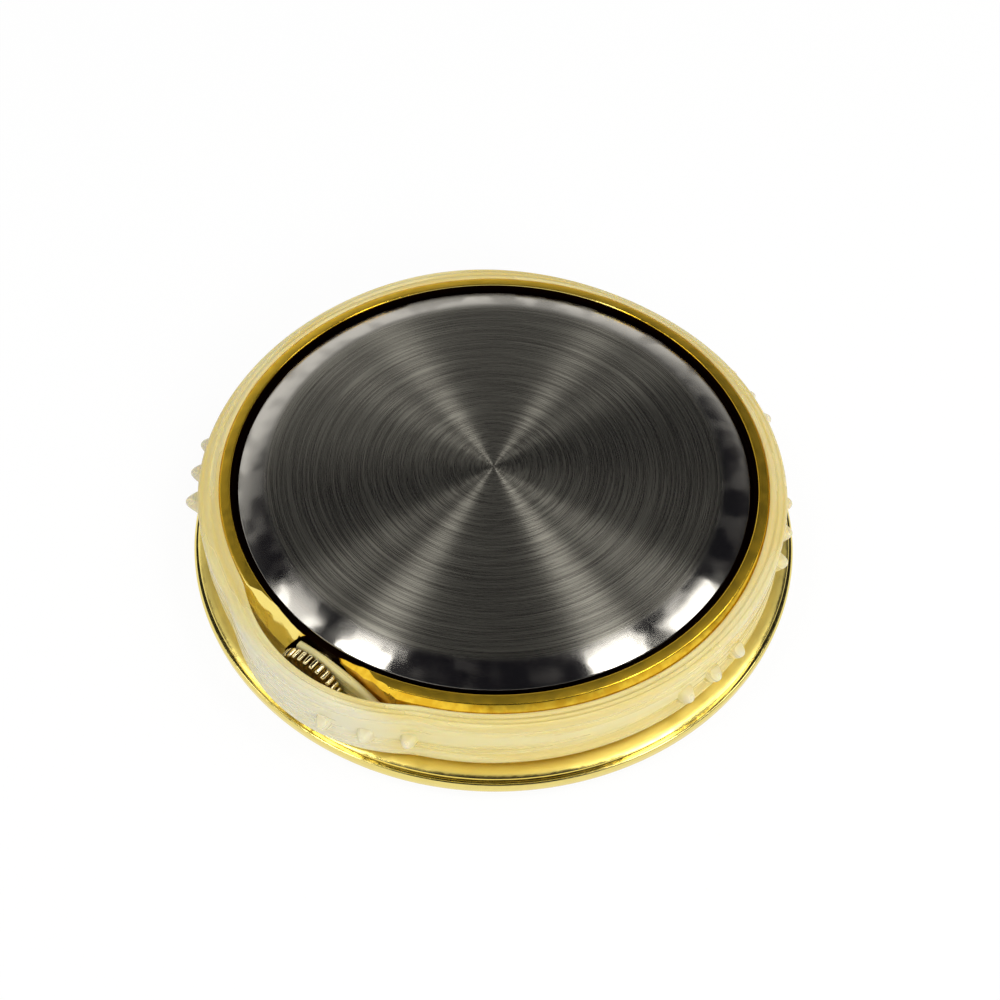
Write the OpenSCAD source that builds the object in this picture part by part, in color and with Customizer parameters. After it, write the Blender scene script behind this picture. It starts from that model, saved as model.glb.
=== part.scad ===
// Quartz clock insert, lying on its bezel with the case back up.
// The origin is on the surface it lies on, at the middle of the bezel, and the dial faces -Z.
// The movement, the crown and everything that turns with it are drawn with the crown along +X,
// and at_crown() turns them to the crown's real place. Seen from the back, hands turn anticlockwise.

/* [Case] */
// Thickness of the case wall round the movement holder
case_wall = 1.9; // [1.7:0.05:2.1]
// Thickness of the rim round the case back
rim_wall = 0.96; // [0.7:0.02:1.1]
// Width by which the flange stands out past the case wall
flange_w = 1.55; // [1.4:0.05:1.7]
// Thickness of the flange that meets the front of the hole
flange_t = 0.45; // [0.35:0.05:0.6]
// Height of the bezel ring, from its front to the seam with the flange
bezel_h = 1.15; // [1.05:0.05:1.35]
// Width by which the bezel stands out past the flange
bezel_overhang = 0.3; // [0.2:0.05:0.4]
// Width of the bezel's lip over the edge of the crystal
bezel_lap = 0.55; // [0.4:0.05:0.7]
// Chamfer round the outside of the rim
rim_chamfer = 0.38; // [0.2:0.02:0.45]
// Thickness of the ledge that the crystal rests on
ledge_t = 0.3; // [0.25:0.05:0.45]

/* [Crystal and dial] */
// Width of the crystal's edge that rests on the ledge
crystal_lap = 1.4; // [1.2:0.05:1.5]
// Thickness of the crystal
crystal_t = 0.9; // [0.8:0.05:1.1]
// Depth of the crystal behind the front of the bezel
crystal_inset = 0.5; // [0.4:0.05:0.6]
// Radial thickness of the gasket round the crystal
gasket_t = 0.4; // [0.3:0.05:0.45]
// Height of the ring between the ledge and the dial
chapter_h = 0.7; // [0.6:0.05:0.9]
// Thickness of the dial plate
dial_t = 0.4; // [0.3:0.05:0.5]

/* [Case back] */
// Thickness of the press-in back at its middle
back_t = 0.6; // [0.55:0.05:0.8]
// Width of the open groove between the back and the rim
groove_w = 0.43; // [0.3:0.01:0.55]
// Depth of the groove below the rim
groove_depth = 0.82; // [0.75:0.02:0.9]
// Width of the polished bevel round the back
bevel_w = 0.95; // [0.7:0.05:1.2]
// Height of the polished bevel
bevel_h = 0.45; // [0.3:0.01:0.48]
// How far the back stands above the rim
back_proud = 0.13; // [0:0.01:0.2]
// Thickness of the skirt that presses into the case
skirt_t = 0.45; // [0.35:0.05:0.6]
// Height of the skirt
skirt_h = 0.7; // [0.6:0.05:0.75]

/* [Grip band] */
// Wall thickness of the soft grip band
band_t = 0.75; // [0.6:0.05:0.9]
// Distance of the band's top below the rim
band_drop = 0.27; // [0.15:0.01:0.5]
// How far the grip teeth stand out
tooth_h = 0.74; // [0.4:0.02:0.8]
// Width of a grip tooth at its root
tooth_w = 1.04; // [0.7:0.02:1.3]
// Angle between neighbouring teeth of a group
tooth_pitch = 6.9; // [6:0.1:8]
// Thickness of the inner web, between the crown and the case
web_t = 0.5; // [0.35:0.05:0.55]
// Radius of the arched top of the web
web_arch_r = 6; // [5:0.1:8]
// Radius of the bulge that goes round the crown
bulge_r = 10; // [9:0.1:11]

/* [Crown] */
// Direction of the crown, seen from the back
crown_az = 232; // [0:1:359]
// Diameter of the crown over its knurl
crown_d = 4.2; // [3.6:0.1:4.2]
// Length of the crown
crown_l = 0.85; // [0.7:0.05:1]
// Number of ridges of the knurl
knurl_count = 30; // [20:1:36]
// Depth of the knurl
knurl_depth = 0.16; // [0.08:0.01:0.2]
// Distance that the crown pulls out to set the hands
crown_travel = 1; // [0.8:0.05:1]
// Depth of the flat on the case wall behind the crown
flat_depth = 0.85; // [0.8:0.01:0.9]
// Diameter of the stem
stem_d = 0.9; // [0.8:0.02:1]
// Outer diameter of the tube that guides the stem
tube_d = 1.6; // [1.5:0.05:1.8]

/* [Movement] */
// Diameter of the movement
movement_d = 23.3; // [22.5:0.1:24.5]
// Width of the plastic holder between the movement and the case
holder_w = 2.85; // [2.6:0.05:3.1]
// Gap between the movement and the case back
back_gap = 0.1; // [0.05:0.01:0.2]
// Diameter of the battery
battery_d = 6.8; // [6.4:0.1:7]
// Thickness of the battery
battery_t = 2.1; // [1.9:0.05:2.15]
// Length of the coil winding
coil_l = 7.6; // [6.5:0.1:8]
// Diameter of the coil winding
coil_d = 1.2; // [1:0.05:1.25]
// Diameter of the rotor magnet
magnet_d = 1.3; // [1:0.05:1.4]

/* [Gear train] */
// Module of the third wheel and the seconds pinion
third_module = 0.09; // [0.086:0.001:0.091]
// Module of the seconds wheel and the intermediate pinion
seconds_module = 0.1; // [0.097:0.001:0.102]
// Module of the intermediate wheel and the rotor pinion
intermediate_module = 0.08; // [0.077:0.001:0.081]
// Thickness of a train wheel
wheel_t = 0.14; // [0.1:0.01:0.14]
// Thickness of the bridge over the train
bridge_t = 0.2; // [0.15:0.01:0.2]

/* [Hands] */
// Length of the hour hand from the centre
hour_hand_l = 7.8; // [6.5:0.1:9]
// Length of the minute hand from the centre
minute_hand_l = 11.4; // [10:0.1:12.5]
// Length of the seconds hand from the centre
seconds_hand_l = 12.2; // [11:0.1:12.8]
// Width of the hour hand at its root
hand_w = 0.7; // [0.5:0.05:0.9]
// Thickness of a hand
hand_t = 0.09; // [0.06:0.01:0.1]
// Hour that the hands show at rest
hour_shown = 10; // [0:1:11]
// Minute that the hands show at rest
minute_shown = 8; // [0:1:59]
// Second that the hands show at rest
second_shown = 35; // [0:1:59]

/* [Hidden] */
$fn = 96;

// Clearances
seat = 0.02;          // beside a piece that is held fast
run = 0.04;           // beside a piece that turns or slides
air = 0.1;            // beside a piece that must not be touched
cut = 0.5;            // how far a cutting shape runs past the face it cuts

// The battery sets the thickness of the movement
battery_floor = 0.35;
strap_t = 0.08;
head_h = 0.15;
movement_t = battery_floor + battery_t + seat + strap_t + head_h + 0.05;

// Heights, from the surface up
crystal_z = crystal_inset;
ledge_z = crystal_z + crystal_t;
chapter_z = ledge_z + ledge_t;
dial_z = chapter_z + chapter_h;
plate_z = dial_z + dial_t;
movement_top = plate_z + movement_t;
back_z = movement_top + back_gap;
back_top = back_z + back_t;
rim_z = back_top - back_proud;
groove_z = rim_z - groove_depth;
land_z = bezel_h + flange_t;
band_top = rim_z - band_drop;

// Radii from the movement out to the bezel
movement_r = movement_d / 2;
cavity_r = movement_r + holder_w;
case_r = cavity_r + case_wall;
flange_r = case_r + flange_w;
bezel_r = flange_r + bezel_overhang;
groove_r = case_r - rim_wall;
back_r = groove_r - groove_w;
ledge_lip = 0.45;
ledge_r = cavity_r - ledge_lip;
crystal_r = ledge_r + crystal_lap;
pocket_r = crystal_r + gasket_t + 2 * seat;
spigot_wall = 0.65;
spigot_r = pocket_r + spigot_wall;
spigot_z = crystal_z + seat;
band_in_r = case_r + 0.05;
band_r = band_in_r + band_t;

// Crown, its pocket in the case and its slot in the band, along the crown's own axis
crown_r = crown_d / 2;
stem_r = stem_d / 2;
tube_r = tube_d / 2;
flat_x = case_r - flat_depth;
web_x = flat_x + 0.05;
crown_x = web_x + web_t + air;
crown_end = crown_x + crown_l;
slot_x = crown_end + 0.2;
bulge_x = slot_x - bulge_r;
pocket_floor_x = flat_x - 0.35;
facet_x = flat_x - 0.6;
tube_out_x = crown_x - air;
tube_in_x = cavity_r + 0.08;
tube_bore_r = stem_r + 0.05;
crown_z = land_z + crown_r + 0.25;

// Gear teeth
seconds_pinion_n = 8;
third_n = 64;
third_pinion_n = 8;
centre_n = 60;
intermediate_pinion_n = 8;
seconds_n = 40;
rotor_pinion_n = 8;
intermediate_n = 48;
cannon_n = 12;
minute_n = 36;
minute_pinion_n = 10;
hour_n = 40;
setting_n = 16;

// Keyless works, along the crown's axis from the movement's edge inwards
plate_lip = 0.35;
inner_r = movement_r - plate_lip;
bearing_l = 0.36;
lever_pin_r = 0.18;
clutch_r = 0.9;
clutch_l = 1.4;
clutch_travel = 0.5;
clutch_gap = 0.06;
bearing_end = inner_r - bearing_l;
lever_pin_x = bearing_end - 0.12 - lever_pin_r - crown_travel;
clutch_x = lever_pin_x - 0.6 - clutch_l;

// The motion work fills the distance from the centre to the clutch when it is pulled in
minute_module = (clutch_x - clutch_travel - clutch_gap) / (cannon_n / 2 + minute_n + setting_n + 1);

// Centre distances, and the modules that follow from them
third_reach = third_module * (seconds_pinion_n + third_n) / 2;
centre_module = third_reach * 2 / (third_pinion_n + centre_n);
intermediate_reach = seconds_module * (intermediate_pinion_n + seconds_n) / 2;
rotor_reach = intermediate_reach + intermediate_module * (rotor_pinion_n + intermediate_n) / 2;
minute_reach = minute_module * (cannon_n + minute_n) / 2;
hour_module = minute_reach * 2 / (minute_pinion_n + hour_n);
setting_reach = minute_reach + minute_module * (minute_n + setting_n) / 2;

// Directions of the axes, from the crown's own axis
third_dir = -60;
rotor_dir = 225;
battery_dir = 105;
board_dir = 168;

// Tip radii that other pieces clear
centre_tip = tip_r(centre_n, centre_module);
third_tip = tip_r(third_n, third_module);
minute_tip = tip_r(minute_n, minute_module);
hour_tip = tip_r(hour_n, hour_module);
setting_tip = tip_r(setting_n, minute_module);

// Arbors and pipes at the centre, each inside the next
arbor_r = 0.1;
seconds_arbor_r = 0.16;
centre_bore_r = seconds_arbor_r + run;
centre_pipe_r = cannon_n * minute_module / 2 - 1.25 * minute_module;
hour_bore_r = centre_pipe_r + run;
hour_pipe_r = hour_bore_r + 0.2;

// Levels of the movement
motion_z = plate_z + 0.08;
hour_wheel_t = 0.18;
minute_wheel_z = motion_z + hour_wheel_t + 0.08;
motion_roof_z = minute_wheel_z + wheel_t + air;
floor_z = motion_roof_z + 0.3;
centre_wheel_z = floor_z + 0.08;
centre_bridge_z = centre_wheel_z + wheel_t + 0.08;
centre_bridge_t = 0.12;
third_wheel_z = centre_bridge_z + centre_bridge_t + 0.1;
seconds_wheel_z = third_wheel_z + wheel_t + 0.14;
intermediate_wheel_z = seconds_wheel_z + wheel_t + 0.06;
bridge_z = intermediate_wheel_z + wheel_t + 0.08;
bridge_top = bridge_z + bridge_t;
lever_z = max(bridge_z, crown_z + clutch_r + 0.06);
lever_t = 0.16;
spring_z = lever_z + lever_t + 0.04;
spring_t = 0.1;

// Hands, from the crystal up to the dial
hub_h = 0.2;
seconds_hand_z = ledge_z + 0.1;
minute_hand_z = seconds_hand_z + hub_h + 0.08;
hour_hand_z = minute_hand_z + hub_h + 0.07;
hand_hub_wall = 0.35;

// Movement body
plate_rim_h = 0.7;
pillar_r = 0.6;
screw_r = 0.28;
head_r = 0.5;
screw_depth = 0.6;
stud_r = 0.2;

// Places of the train pillars and the short pillars of the centre bridge
train_pillars = [
    polar(centre_tip + pillar_r + 1.6, 162),
    polar(centre_tip + pillar_r + 1.25, 24),
    polar(third_reach + third_tip + 0.74, -80)
];
centre_pillars = [for (a = [150, -90]) polar(centre_tip + 0.95, a)];

// Battery and its strap
battery_r = battery_d / 2;
battery_at = polar(inner_r - battery_r - 0.3, battery_dir);
battery_z = plate_z + battery_floor;
strap_z = battery_z + battery_t + seat;
strap_w = 1.6;
strap_pillars = [for (a = [-36, 36]) polar(inner_r - pillar_r - 1.8, battery_dir + a)];

// Coil, its core and the stator, drawn along the rotor's own direction
coil_r = coil_d / 2;
arm_w = 1.2;
tab_y = coil_l / 2 + arm_w / 2 + 0.5;
coil_reach = sqrt(pow(inner_r - arm_w / 2 - 0.8, 2) - pow(tab_y, 2));
core_t = 0.2;
core_w = 0.5;
core_z = floor_z + coil_r + 0.03 - core_t / 2;
stator_t = 0.28;
stator_z = core_z - stator_t;
magnet_r = magnet_d / 2;
eye_r = magnet_r + 0.25;

// Circuit board
board_in_r = centre_tip + pillar_r * 2 + 1.85;
board_out_r = inner_r - 0.15;
board_half = 18;
board_t = 0.2;
chip_w = 1.6;
chip_t = 0.5;
can_r = 0.7;
can_l = 4.6;

// Stem, clutch and levers
square_w = stem_r * 1.38;
pilot_r = stem_r * 0.49;
clutch_teeth = 12;
clutch_groove_r = 0.62;
groove_play = 0.05;
finger_r = 0.17;
finger_x = clutch_x + clutch_l / 2;
lever_groove_r = stem_r * 0.6;
lever_arm = 2.6;
yoke_arm = 2.9;
lever_swing = 2 * asin(crown_travel / 2 / lever_arm);
yoke_swing = 2 * asin(clutch_travel / 2 / yoke_arm);
lever_pivot = [lever_pin_x + crown_travel / 2, lever_arm * cos(lever_swing / 4)];
yoke_pivot = [finger_x - clutch_travel / 2, -yoke_arm * cos(yoke_swing / 4)];
pivot_r = 0.28;
rivet_r = 0.18;
boss_r = 0.6;
pilot_x = setting_reach - 1.1;
bearing_x = [setting_reach - 0.7, setting_reach + 0.2];
square_x = setting_reach + 0.3;
stem_gasket_w = 0.3;
stem_gasket_x = tube_in_x + 0.1;
stem_gasket_in_r = stem_r * 0.65;

// Grip teeth: the direction of each group of three, from the crown's own axis
tooth_groups = [16, 81, 116.5, 151, 190, 229, 267, 304];
tooth_z = [land_z + 0.1, land_z + 0.85, band_top - 1.2, band_top - 0.4];

function polar(r, a) = [r * cos(a), r * sin(a)];
function tip_r(n, m) = (n / 2 + 1) * m;
function root_r(n, m) = (n / 2 - 1.25) * m;

// The angle of a gear's first tooth that meshes it with its neighbour's first tooth at angle a0
function mate(a0, n0, n, dir) = dir + 180 - (a0 - dir) * n0 / n + 180 / n;

// Outline of a gear with n teeth: root, pitch circle and tip on each flank
function gear_outline(n, m) = [
    for (i = [0 : n - 1], s = [[0, -0.3], [1, -0.22], [2, -0.09], [2, 0.09], [1, 0.22], [0, 0.3]])
        polar([root_r(n, m), n * m / 2, tip_r(n, m)][s[0]], 360 / n * (i + s[1]))
];

module at_crown() {
    rotate(crown_az) children();
}

// Places its children on the crown's axis, with their own Z axis pointing outwards
module on_stem(x) {
    translate([x, 0, crown_z]) rotate([0, 90, 0]) children();
}

module gear(n, m, t) {
    linear_extrude(t) polygon(gear_outline(n, m));
}

module ring(r_out, r_in, h) {
    difference() {
        cylinder(r = r_out, h = h);
        translate([0, 0, -cut]) cylinder(r = r_in, h = h + 2 * cut);
    }
}

// Flat strip with round ends, from point a to point b
module strip(a, b, w) {
    reach = norm(b - a);
    translate(a) rotate(atan2(b[1] - a[1], b[0] - a[0])) {
        translate([0, -w / 2]) square([reach, w]);
        circle(d = w);
        translate([reach, 0]) circle(d = w);
    }
}

// Case

module bezel() {
    front_r = bezel_r - 0.95;
    lip_r = crystal_r - bezel_lap;
    shoulder_z = 0.75;
    round_steps = 6;
    color("gold") rotate_extrude() polygon(concat(
        [[lip_r, crystal_inset], [lip_r, 0.28], [front_r - 0.4, 0]],
        [for (i = [0 : round_steps]) let (a = 90 / round_steps * i)
            [front_r + (bezel_r - front_r) * sin(a), shoulder_z * (1 - cos(a))]],
        [[bezel_r, bezel_h - 0.12], [bezel_r - 0.12, bezel_h],
         [spigot_r + seat, bezel_h], [spigot_r + seat, crystal_inset]]
    ));
}

module crystal() {
    edge = 0.12;
    color("aliceblue") translate([0, 0, crystal_z]) {
        cylinder(r1 = crystal_r - edge, r2 = crystal_r, h = edge);
        translate([0, 0, edge]) cylinder(r = crystal_r, h = crystal_t - edge);
    }
}

module crystal_gasket() {
    color("ivory") translate([0, 0, crystal_z + seat])
        ring(crystal_r + seat + gasket_t, crystal_r + seat, crystal_t - 2 * seat);
}

module case_body() {
    color("gold") difference() {
        rotate_extrude() polygon([
            [ledge_r, ledge_z], [pocket_r, ledge_z], [pocket_r, spigot_z], [spigot_r, spigot_z],
            [spigot_r, bezel_h], [flange_r, bezel_h], [flange_r, land_z - 0.1],
            [flange_r - 0.1, land_z], [case_r, land_z], [case_r, rim_z - rim_chamfer],
            [case_r - rim_chamfer, rim_z], [groove_r, rim_z], [groove_r, groove_z],
            [cavity_r, groove_z], [cavity_r, chapter_z], [ledge_r, chapter_z]
        ]);
        at_crown() crown_pocket();
    }
}

// The flat, the sloping facet and the round pocket behind the crown, and the bore for its tube
module crown_pocket() {
    reach = case_r + cut;
    translate([flat_x, -reach / 2, land_z]) cube([reach - flat_x, reach, rim_z]);
    translate([facet_x, -reach / 2, rim_z]) rotate([0, 45, 0]) cube([reach, reach, reach]);
    on_stem(pocket_floor_x) cylinder(r = crown_r + air, h = reach - pocket_floor_x);
    on_stem(cavity_r - cut) cylinder(r = tube_r + seat, h = case_wall + cut);
}

module chapter_ring() {
    out_r = cavity_r - seat;
    color("gold") translate([0, 0, chapter_z]) rotate_extrude() polygon([
        [ledge_r, 0], [out_r, 0], [out_r, chapter_h], [ledge_r - 0.25, chapter_h]
    ]);
}

module dial() {
    foot_r = 0.35;
    color("white") difference() {
        union() {
            translate([0, 0, dial_z]) cylinder(r = cavity_r - 2 * seat, h = dial_t);
            at_crown() dial_feet() cylinder(r = foot_r, h = 0.5);
        }
        translate([0, 0, dial_z - cut]) cylinder(r = hour_pipe_r + run, h = dial_t + 2 * cut);
    }
}

module hour_markers() {
    marker_h = 0.1;
    marker_w = 0.45;
    marker_l = 1.7;
    color("black") for (i = [0 : 11]) at_crown() rotate(30 * i)
        translate([ledge_r - 0.9 - marker_l, -marker_w / 2, dial_z - marker_h])
            cube([marker_l, marker_w, marker_h]);
}

// Puts its children where the two dial feet enter the main plate
module dial_feet() {
    for (a = [38, 218]) translate(concat(polar(inner_r - 0.5, a), plate_z)) children();
}

// Hands: each hub is a short tube pressed on its pipe or arbor

function dial_angle(part) = 360 * part - 90;

module hand(z, angle, bore_r, length, tail, w) {
    tip_w = 0.12;
    at_crown() rotate(angle) difference() {
        union() {
            translate([0, 0, z]) cylinder(r = bore_r + hand_hub_wall, h = hub_h);
            translate([0, 0, z + hub_h / 2]) linear_extrude(hand_t) polygon([
                [-tail, -w / 2], [length * 0.3, -w * 0.75], [length, -tip_w / 2],
                [length, tip_w / 2], [length * 0.3, w * 0.75], [-tail, w / 2]
            ]);
        }
        translate([0, 0, z - cut]) cylinder(r = bore_r, h = hub_h + 2 * cut);
    }
}

module hour_hand() {
    color("black") hand(hour_hand_z, dial_angle((hour_shown + minute_shown / 60) / 12),
        hour_pipe_r + seat, hour_hand_l, 0.25 * hour_hand_l, hand_w);
}

module minute_hand() {
    color("black") hand(minute_hand_z, dial_angle((minute_shown + second_shown / 60) / 60),
        centre_pipe_r + seat, minute_hand_l, 0.22 * minute_hand_l, 0.8 * hand_w);
}

module seconds_hand() {
    color("black") hand(seconds_hand_z, dial_angle(second_shown / 60),
        seconds_arbor_r + seat, seconds_hand_l, 0.27 * seconds_hand_l, 0.28 * hand_w);
}

// Movement frame

module movement_holder() {
    holder_h = back_z - skirt_h - 0.05 - plate_z;
    color("whitesmoke") difference() {
        translate([0, 0, plate_z]) cylinder(r = cavity_r - 2 * seat, h = holder_h);
        translate([0, 0, plate_z - cut])
            cylinder(r = movement_r + seat, h = cut + plate_rim_h + seat);
        translate([0, 0, plate_z]) cylinder(r = inner_r + seat, h = holder_h + cut);
        at_crown() on_stem(inner_r - cut) cylinder(r = stem_r + air, h = case_wall + cavity_r);
    }
}

module pillar(at, top, r = pillar_r) {
    translate(concat(at, plate_z)) cylinder(r = r, h = top - plate_z);
}

module screw_holes(places, top) {
    for (at = places) translate(concat(at, top - screw_depth - air))
        cylinder(r = screw_r + seat, h = screw_depth + cut);
}

module main_plate() {
    color("silver") at_crown() difference() {
        union() {
            translate([0, 0, plate_z]) cylinder(r = movement_r, h = plate_rim_h);
            translate([0, 0, plate_z]) cylinder(r = inner_r, h = floor_z - plate_z);
            for (at = train_pillars) pillar(at, bridge_z);
            for (at = centre_pillars) pillar(at, centre_bridge_z, 0.45);
            for (at = strap_pillars) pillar(at, strap_z);
            for (at = coil_tabs()) pillar(at, stator_z);
            for (at = [lever_pivot, yoke_pivot]) {
                pillar(at, lever_z - 0.03, boss_r);
                pillar(at, spring_z, pivot_r);
                pillar(at, spring_z + spring_t, rivet_r);
            }
            translate([bearing_x[0], -0.6, plate_z])
                cube([bearing_x[1] - bearing_x[0], 1.2, crown_z + 0.55 - plate_z]);
            intersection() {
                translate([bearing_end, -0.9, plate_z])
                    cube([movement_r, 1.8, crown_z + 0.75 - plate_z]);
                cylinder(r = inner_r, h = movement_top);
            }
        }
        motion_cavity();
        keyless_cavity();
        translate(concat(battery_at, battery_z - 0.15))
            cylinder(r = battery_r + air, h = movement_t);
        dial_feet() translate([0, 0, -cut]) cylinder(r = 0.35 + seat, h = cut + 0.6);
        translate([0, 0, plate_z]) cylinder(r = centre_pipe_r + run, h = movement_t);
        for (at = [polar(third_reach, third_dir), polar(rotor_reach, rotor_dir)])
            translate(concat(at, motion_roof_z + 0.1)) cylinder(r = arbor_r + run, h = movement_t);
        screw_holes(train_pillars, bridge_z);
        screw_holes(strap_pillars, strap_z);
        screw_holes(coil_tabs(), stator_z);
    }
}

// Room for the wheels between the dial and the main plate, round the studs that carry them
module motion_cavity() {
    wheels = [[0, hour_tip], [minute_reach, minute_tip], [setting_reach, setting_tip]];
    difference() {
        for (w = wheels) translate([w[0], 0, plate_z - cut])
            cylinder(r = w[1] + air, h = motion_roof_z - plate_z + cut);
        for (x = [minute_reach, setting_reach]) translate([x, 0, plate_z])
            cylinder(r = stud_r, h = movement_t);
    }
}

// Room for the clutch, the stem and the lever pin, and the bores that carry the stem
module keyless_cavity() {
    low_x = clutch_x - clutch_travel - air;
    clutch_room = clutch_r + air;
    translate([low_x, -clutch_room, crown_z - clutch_room])
        cube([clutch_x + clutch_l + air - low_x, 2 * clutch_room, movement_t]);
    translate([bearing_x[1], -stem_r - air, crown_z - stem_r - air])
        cube([bearing_end - bearing_x[1], 2 * (stem_r + air), movement_t]);
    on_stem(bearing_x[0] - cut) cylinder(r = pilot_r + run, h = low_x - bearing_x[0] + cut);
    on_stem(bearing_end - cut) cylinder(r = stem_r + 0.05, h = movement_r - bearing_end + 2 * cut);
}

// Thin plate that carries the lower pivot of the intermediate wheel over the centre wheel
module centre_bridge() {
    intermediate_at = polar(intermediate_reach, rotor_dir);
    color("silver") at_crown() translate([0, 0, centre_bridge_z]) difference() {
        linear_extrude(centre_bridge_t) difference() {
            union() {
                for (at = centre_pillars) strip([0, 0], at, 0.9);
                strip([0, 0], intermediate_at, 0.8);
                circle(r = 0.6);
            }
            circle(r = seconds_arbor_r + run);
        }
        translate(concat(intermediate_at, -cut)) cylinder(r = arbor_r + run, h = 2 * cut);
    }
}

module train_bridge() {
    pivots = [polar(third_reach, third_dir), polar(intermediate_reach, rotor_dir),
        polar(rotor_reach, rotor_dir)];
    color("silver") at_crown() translate([0, 0, bridge_z]) difference() {
        linear_extrude(bridge_t) {
            for (at = train_pillars) strip([0, 0], at, 1.5);
            for (at = pivots) strip([0, 0], at, 1.4);
            circle(r = 2);
        }
        for (at = concat([[0, 0]], pivots)) translate(concat(at, -cut))
            cylinder(r = arbor_r + run, h = 2 * cut);
        for (at = train_pillars) translate(concat(at, -cut))
            cylinder(r = screw_r + seat, h = 2 * cut);
    }
}

// Gear train

seconds_angle = 0;
third_angle = mate(seconds_angle, seconds_pinion_n, third_n, third_dir);
centre_angle = mate(third_angle, third_pinion_n, centre_n, third_dir + 180);
intermediate_angle = mate(seconds_angle, seconds_n, intermediate_pinion_n, rotor_dir);
rotor_angle = mate(intermediate_angle, intermediate_n, rotor_pinion_n, rotor_dir);
cannon_angle = 0;
minute_angle = mate(cannon_angle, cannon_n, minute_n, 0);
hour_angle = mate(minute_angle, minute_pinion_n, hour_n, 180);
setting_angle = mate(minute_angle, minute_n, setting_n, 0);

// One gear of a wheel, at height z, with its first tooth at angle a
module toothed(n, m, z, t, a) {
    translate([0, 0, z]) rotate(a) gear(n, m, t);
}

module centre_wheel() {
    color("gold") at_crown() difference() {
        union() {
            toothed(centre_n, centre_module, centre_wheel_z, wheel_t, centre_angle);
            toothed(cannon_n, minute_module, minute_wheel_z - 0.03, wheel_t + 0.06, cannon_angle);
            translate([0, 0, minute_hand_z])
                cylinder(r = centre_pipe_r, h = centre_wheel_z + wheel_t / 2 - minute_hand_z);
        }
        translate([0, 0, minute_hand_z - cut]) cylinder(r = centre_bore_r, h = back_top);
    }
}

module third_wheel() {
    color("gold") at_crown() translate(polar(third_reach, third_dir)) {
        toothed(third_n, third_module, third_wheel_z, wheel_t, third_angle);
        toothed(third_pinion_n, centre_module, centre_wheel_z - 0.04, wheel_t + 0.08, third_angle);
        cylinder_between(arbor_r, motion_roof_z + 0.12, bridge_top - seat);
    }
}

module seconds_wheel() {
    pinion_h = seconds_wheel_z - third_wheel_z + 0.06;
    color("gold") at_crown() {
        toothed(seconds_n, seconds_module, seconds_wheel_z, wheel_t, seconds_angle);
        toothed(seconds_pinion_n, third_module, third_wheel_z - 0.04, pinion_h, seconds_angle);
        translate([0, 0, seconds_hand_z])
            cylinder(r = seconds_arbor_r, h = bridge_z - 0.03 - seconds_hand_z);
        cylinder_between(arbor_r, seconds_wheel_z, bridge_top - seat);
    }
}

module cylinder_between(r, low, high) {
    translate([0, 0, low]) cylinder(r = r, h = high - low);
}

module intermediate_wheel() {
    pinion_h = intermediate_wheel_z - seconds_wheel_z + 0.06;
    color("gold") at_crown() translate(polar(intermediate_reach, rotor_dir)) {
        toothed(intermediate_n, intermediate_module, intermediate_wheel_z, wheel_t, intermediate_angle);
        toothed(intermediate_pinion_n, seconds_module, seconds_wheel_z - 0.04, pinion_h, intermediate_angle);
        cylinder_between(arbor_r, centre_bridge_z + seat, bridge_top - seat);
    }
}

module rotor() {
    magnet_z = stator_z - 0.05;
    color("dimgray") at_crown() translate(polar(rotor_reach, rotor_dir)) {
        toothed(rotor_pinion_n, intermediate_module, intermediate_wheel_z - 0.03, wheel_t + 0.06, rotor_angle);
        cylinder_between(magnet_r, magnet_z, magnet_z + stator_t + 0.1);
        cylinder_between(arbor_r, motion_roof_z + 0.12, bridge_top - seat);
    }
}

module hour_wheel() {
    color("gold") at_crown() difference() {
        union() {
            toothed(hour_n, hour_module, motion_z, hour_wheel_t, hour_angle);
            cylinder_between(hour_pipe_r, hour_hand_z, motion_z + hour_wheel_t);
        }
        translate([0, 0, hour_hand_z - cut]) cylinder(r = hour_bore_r, h = movement_t);
    }
}

module minute_wheel() {
    color("gold") at_crown() translate([minute_reach, 0, 0]) difference() {
        union() {
            toothed(minute_n, minute_module, minute_wheel_z, wheel_t, minute_angle);
            toothed(minute_pinion_n, hour_module, motion_z, minute_wheel_z - motion_z + 0.02, minute_angle);
        }
        translate([0, 0, plate_z]) cylinder(r = stud_r + run, h = movement_t);
    }
}

module setting_wheel() {
    color("silver") at_crown() translate([setting_reach, 0, 0]) difference() {
        toothed(setting_n, minute_module, minute_wheel_z, wheel_t, setting_angle);
        translate([0, 0, plate_z]) cylinder(r = stud_r + run, h = movement_t);
    }
}

// Motor and circuit

function coil_tabs() = [for (s = [-1, 1])
    polar(norm([coil_reach, tab_y]), rotor_dir + s * atan2(tab_y, coil_reach))];

module along_rotor() {
    at_crown() rotate(rotor_dir) children();
}

module stator() {
    color("silver") along_rotor() translate([0, 0, stator_z]) difference() {
        linear_extrude(stator_t) {
            translate([rotor_reach, 0]) circle(r = eye_r + 0.45);
            for (s = [-1, 1]) {
                elbow = [coil_reach - coil_r - 0.75, s * tab_y];
                strip([rotor_reach + 0.2, s * eye_r], elbow, arm_w);
                strip(elbow, [coil_reach, s * tab_y], arm_w);
            }
        }
        translate([rotor_reach, 0, -cut]) cylinder(r = eye_r, h = 2 * cut);
        for (s = [-1, 1]) translate([coil_reach, s * tab_y, -cut])
            cylinder(r = screw_r + seat, h = 2 * cut);
    }
}

module coil_core() {
    color("silver") along_rotor() translate([coil_reach, 0, core_z]) difference() {
        union() {
            translate([-core_w / 2, -tab_y, 0]) cube([core_w, 2 * tab_y, core_t]);
            for (s = [-1, 1]) translate([0, s * tab_y, 0]) cylinder(d = arm_w, h = core_t);
        }
        for (s = [-1, 1]) translate([0, s * tab_y, -cut])
            cylinder(r = screw_r + seat, h = 2 * cut);
    }
}

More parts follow.
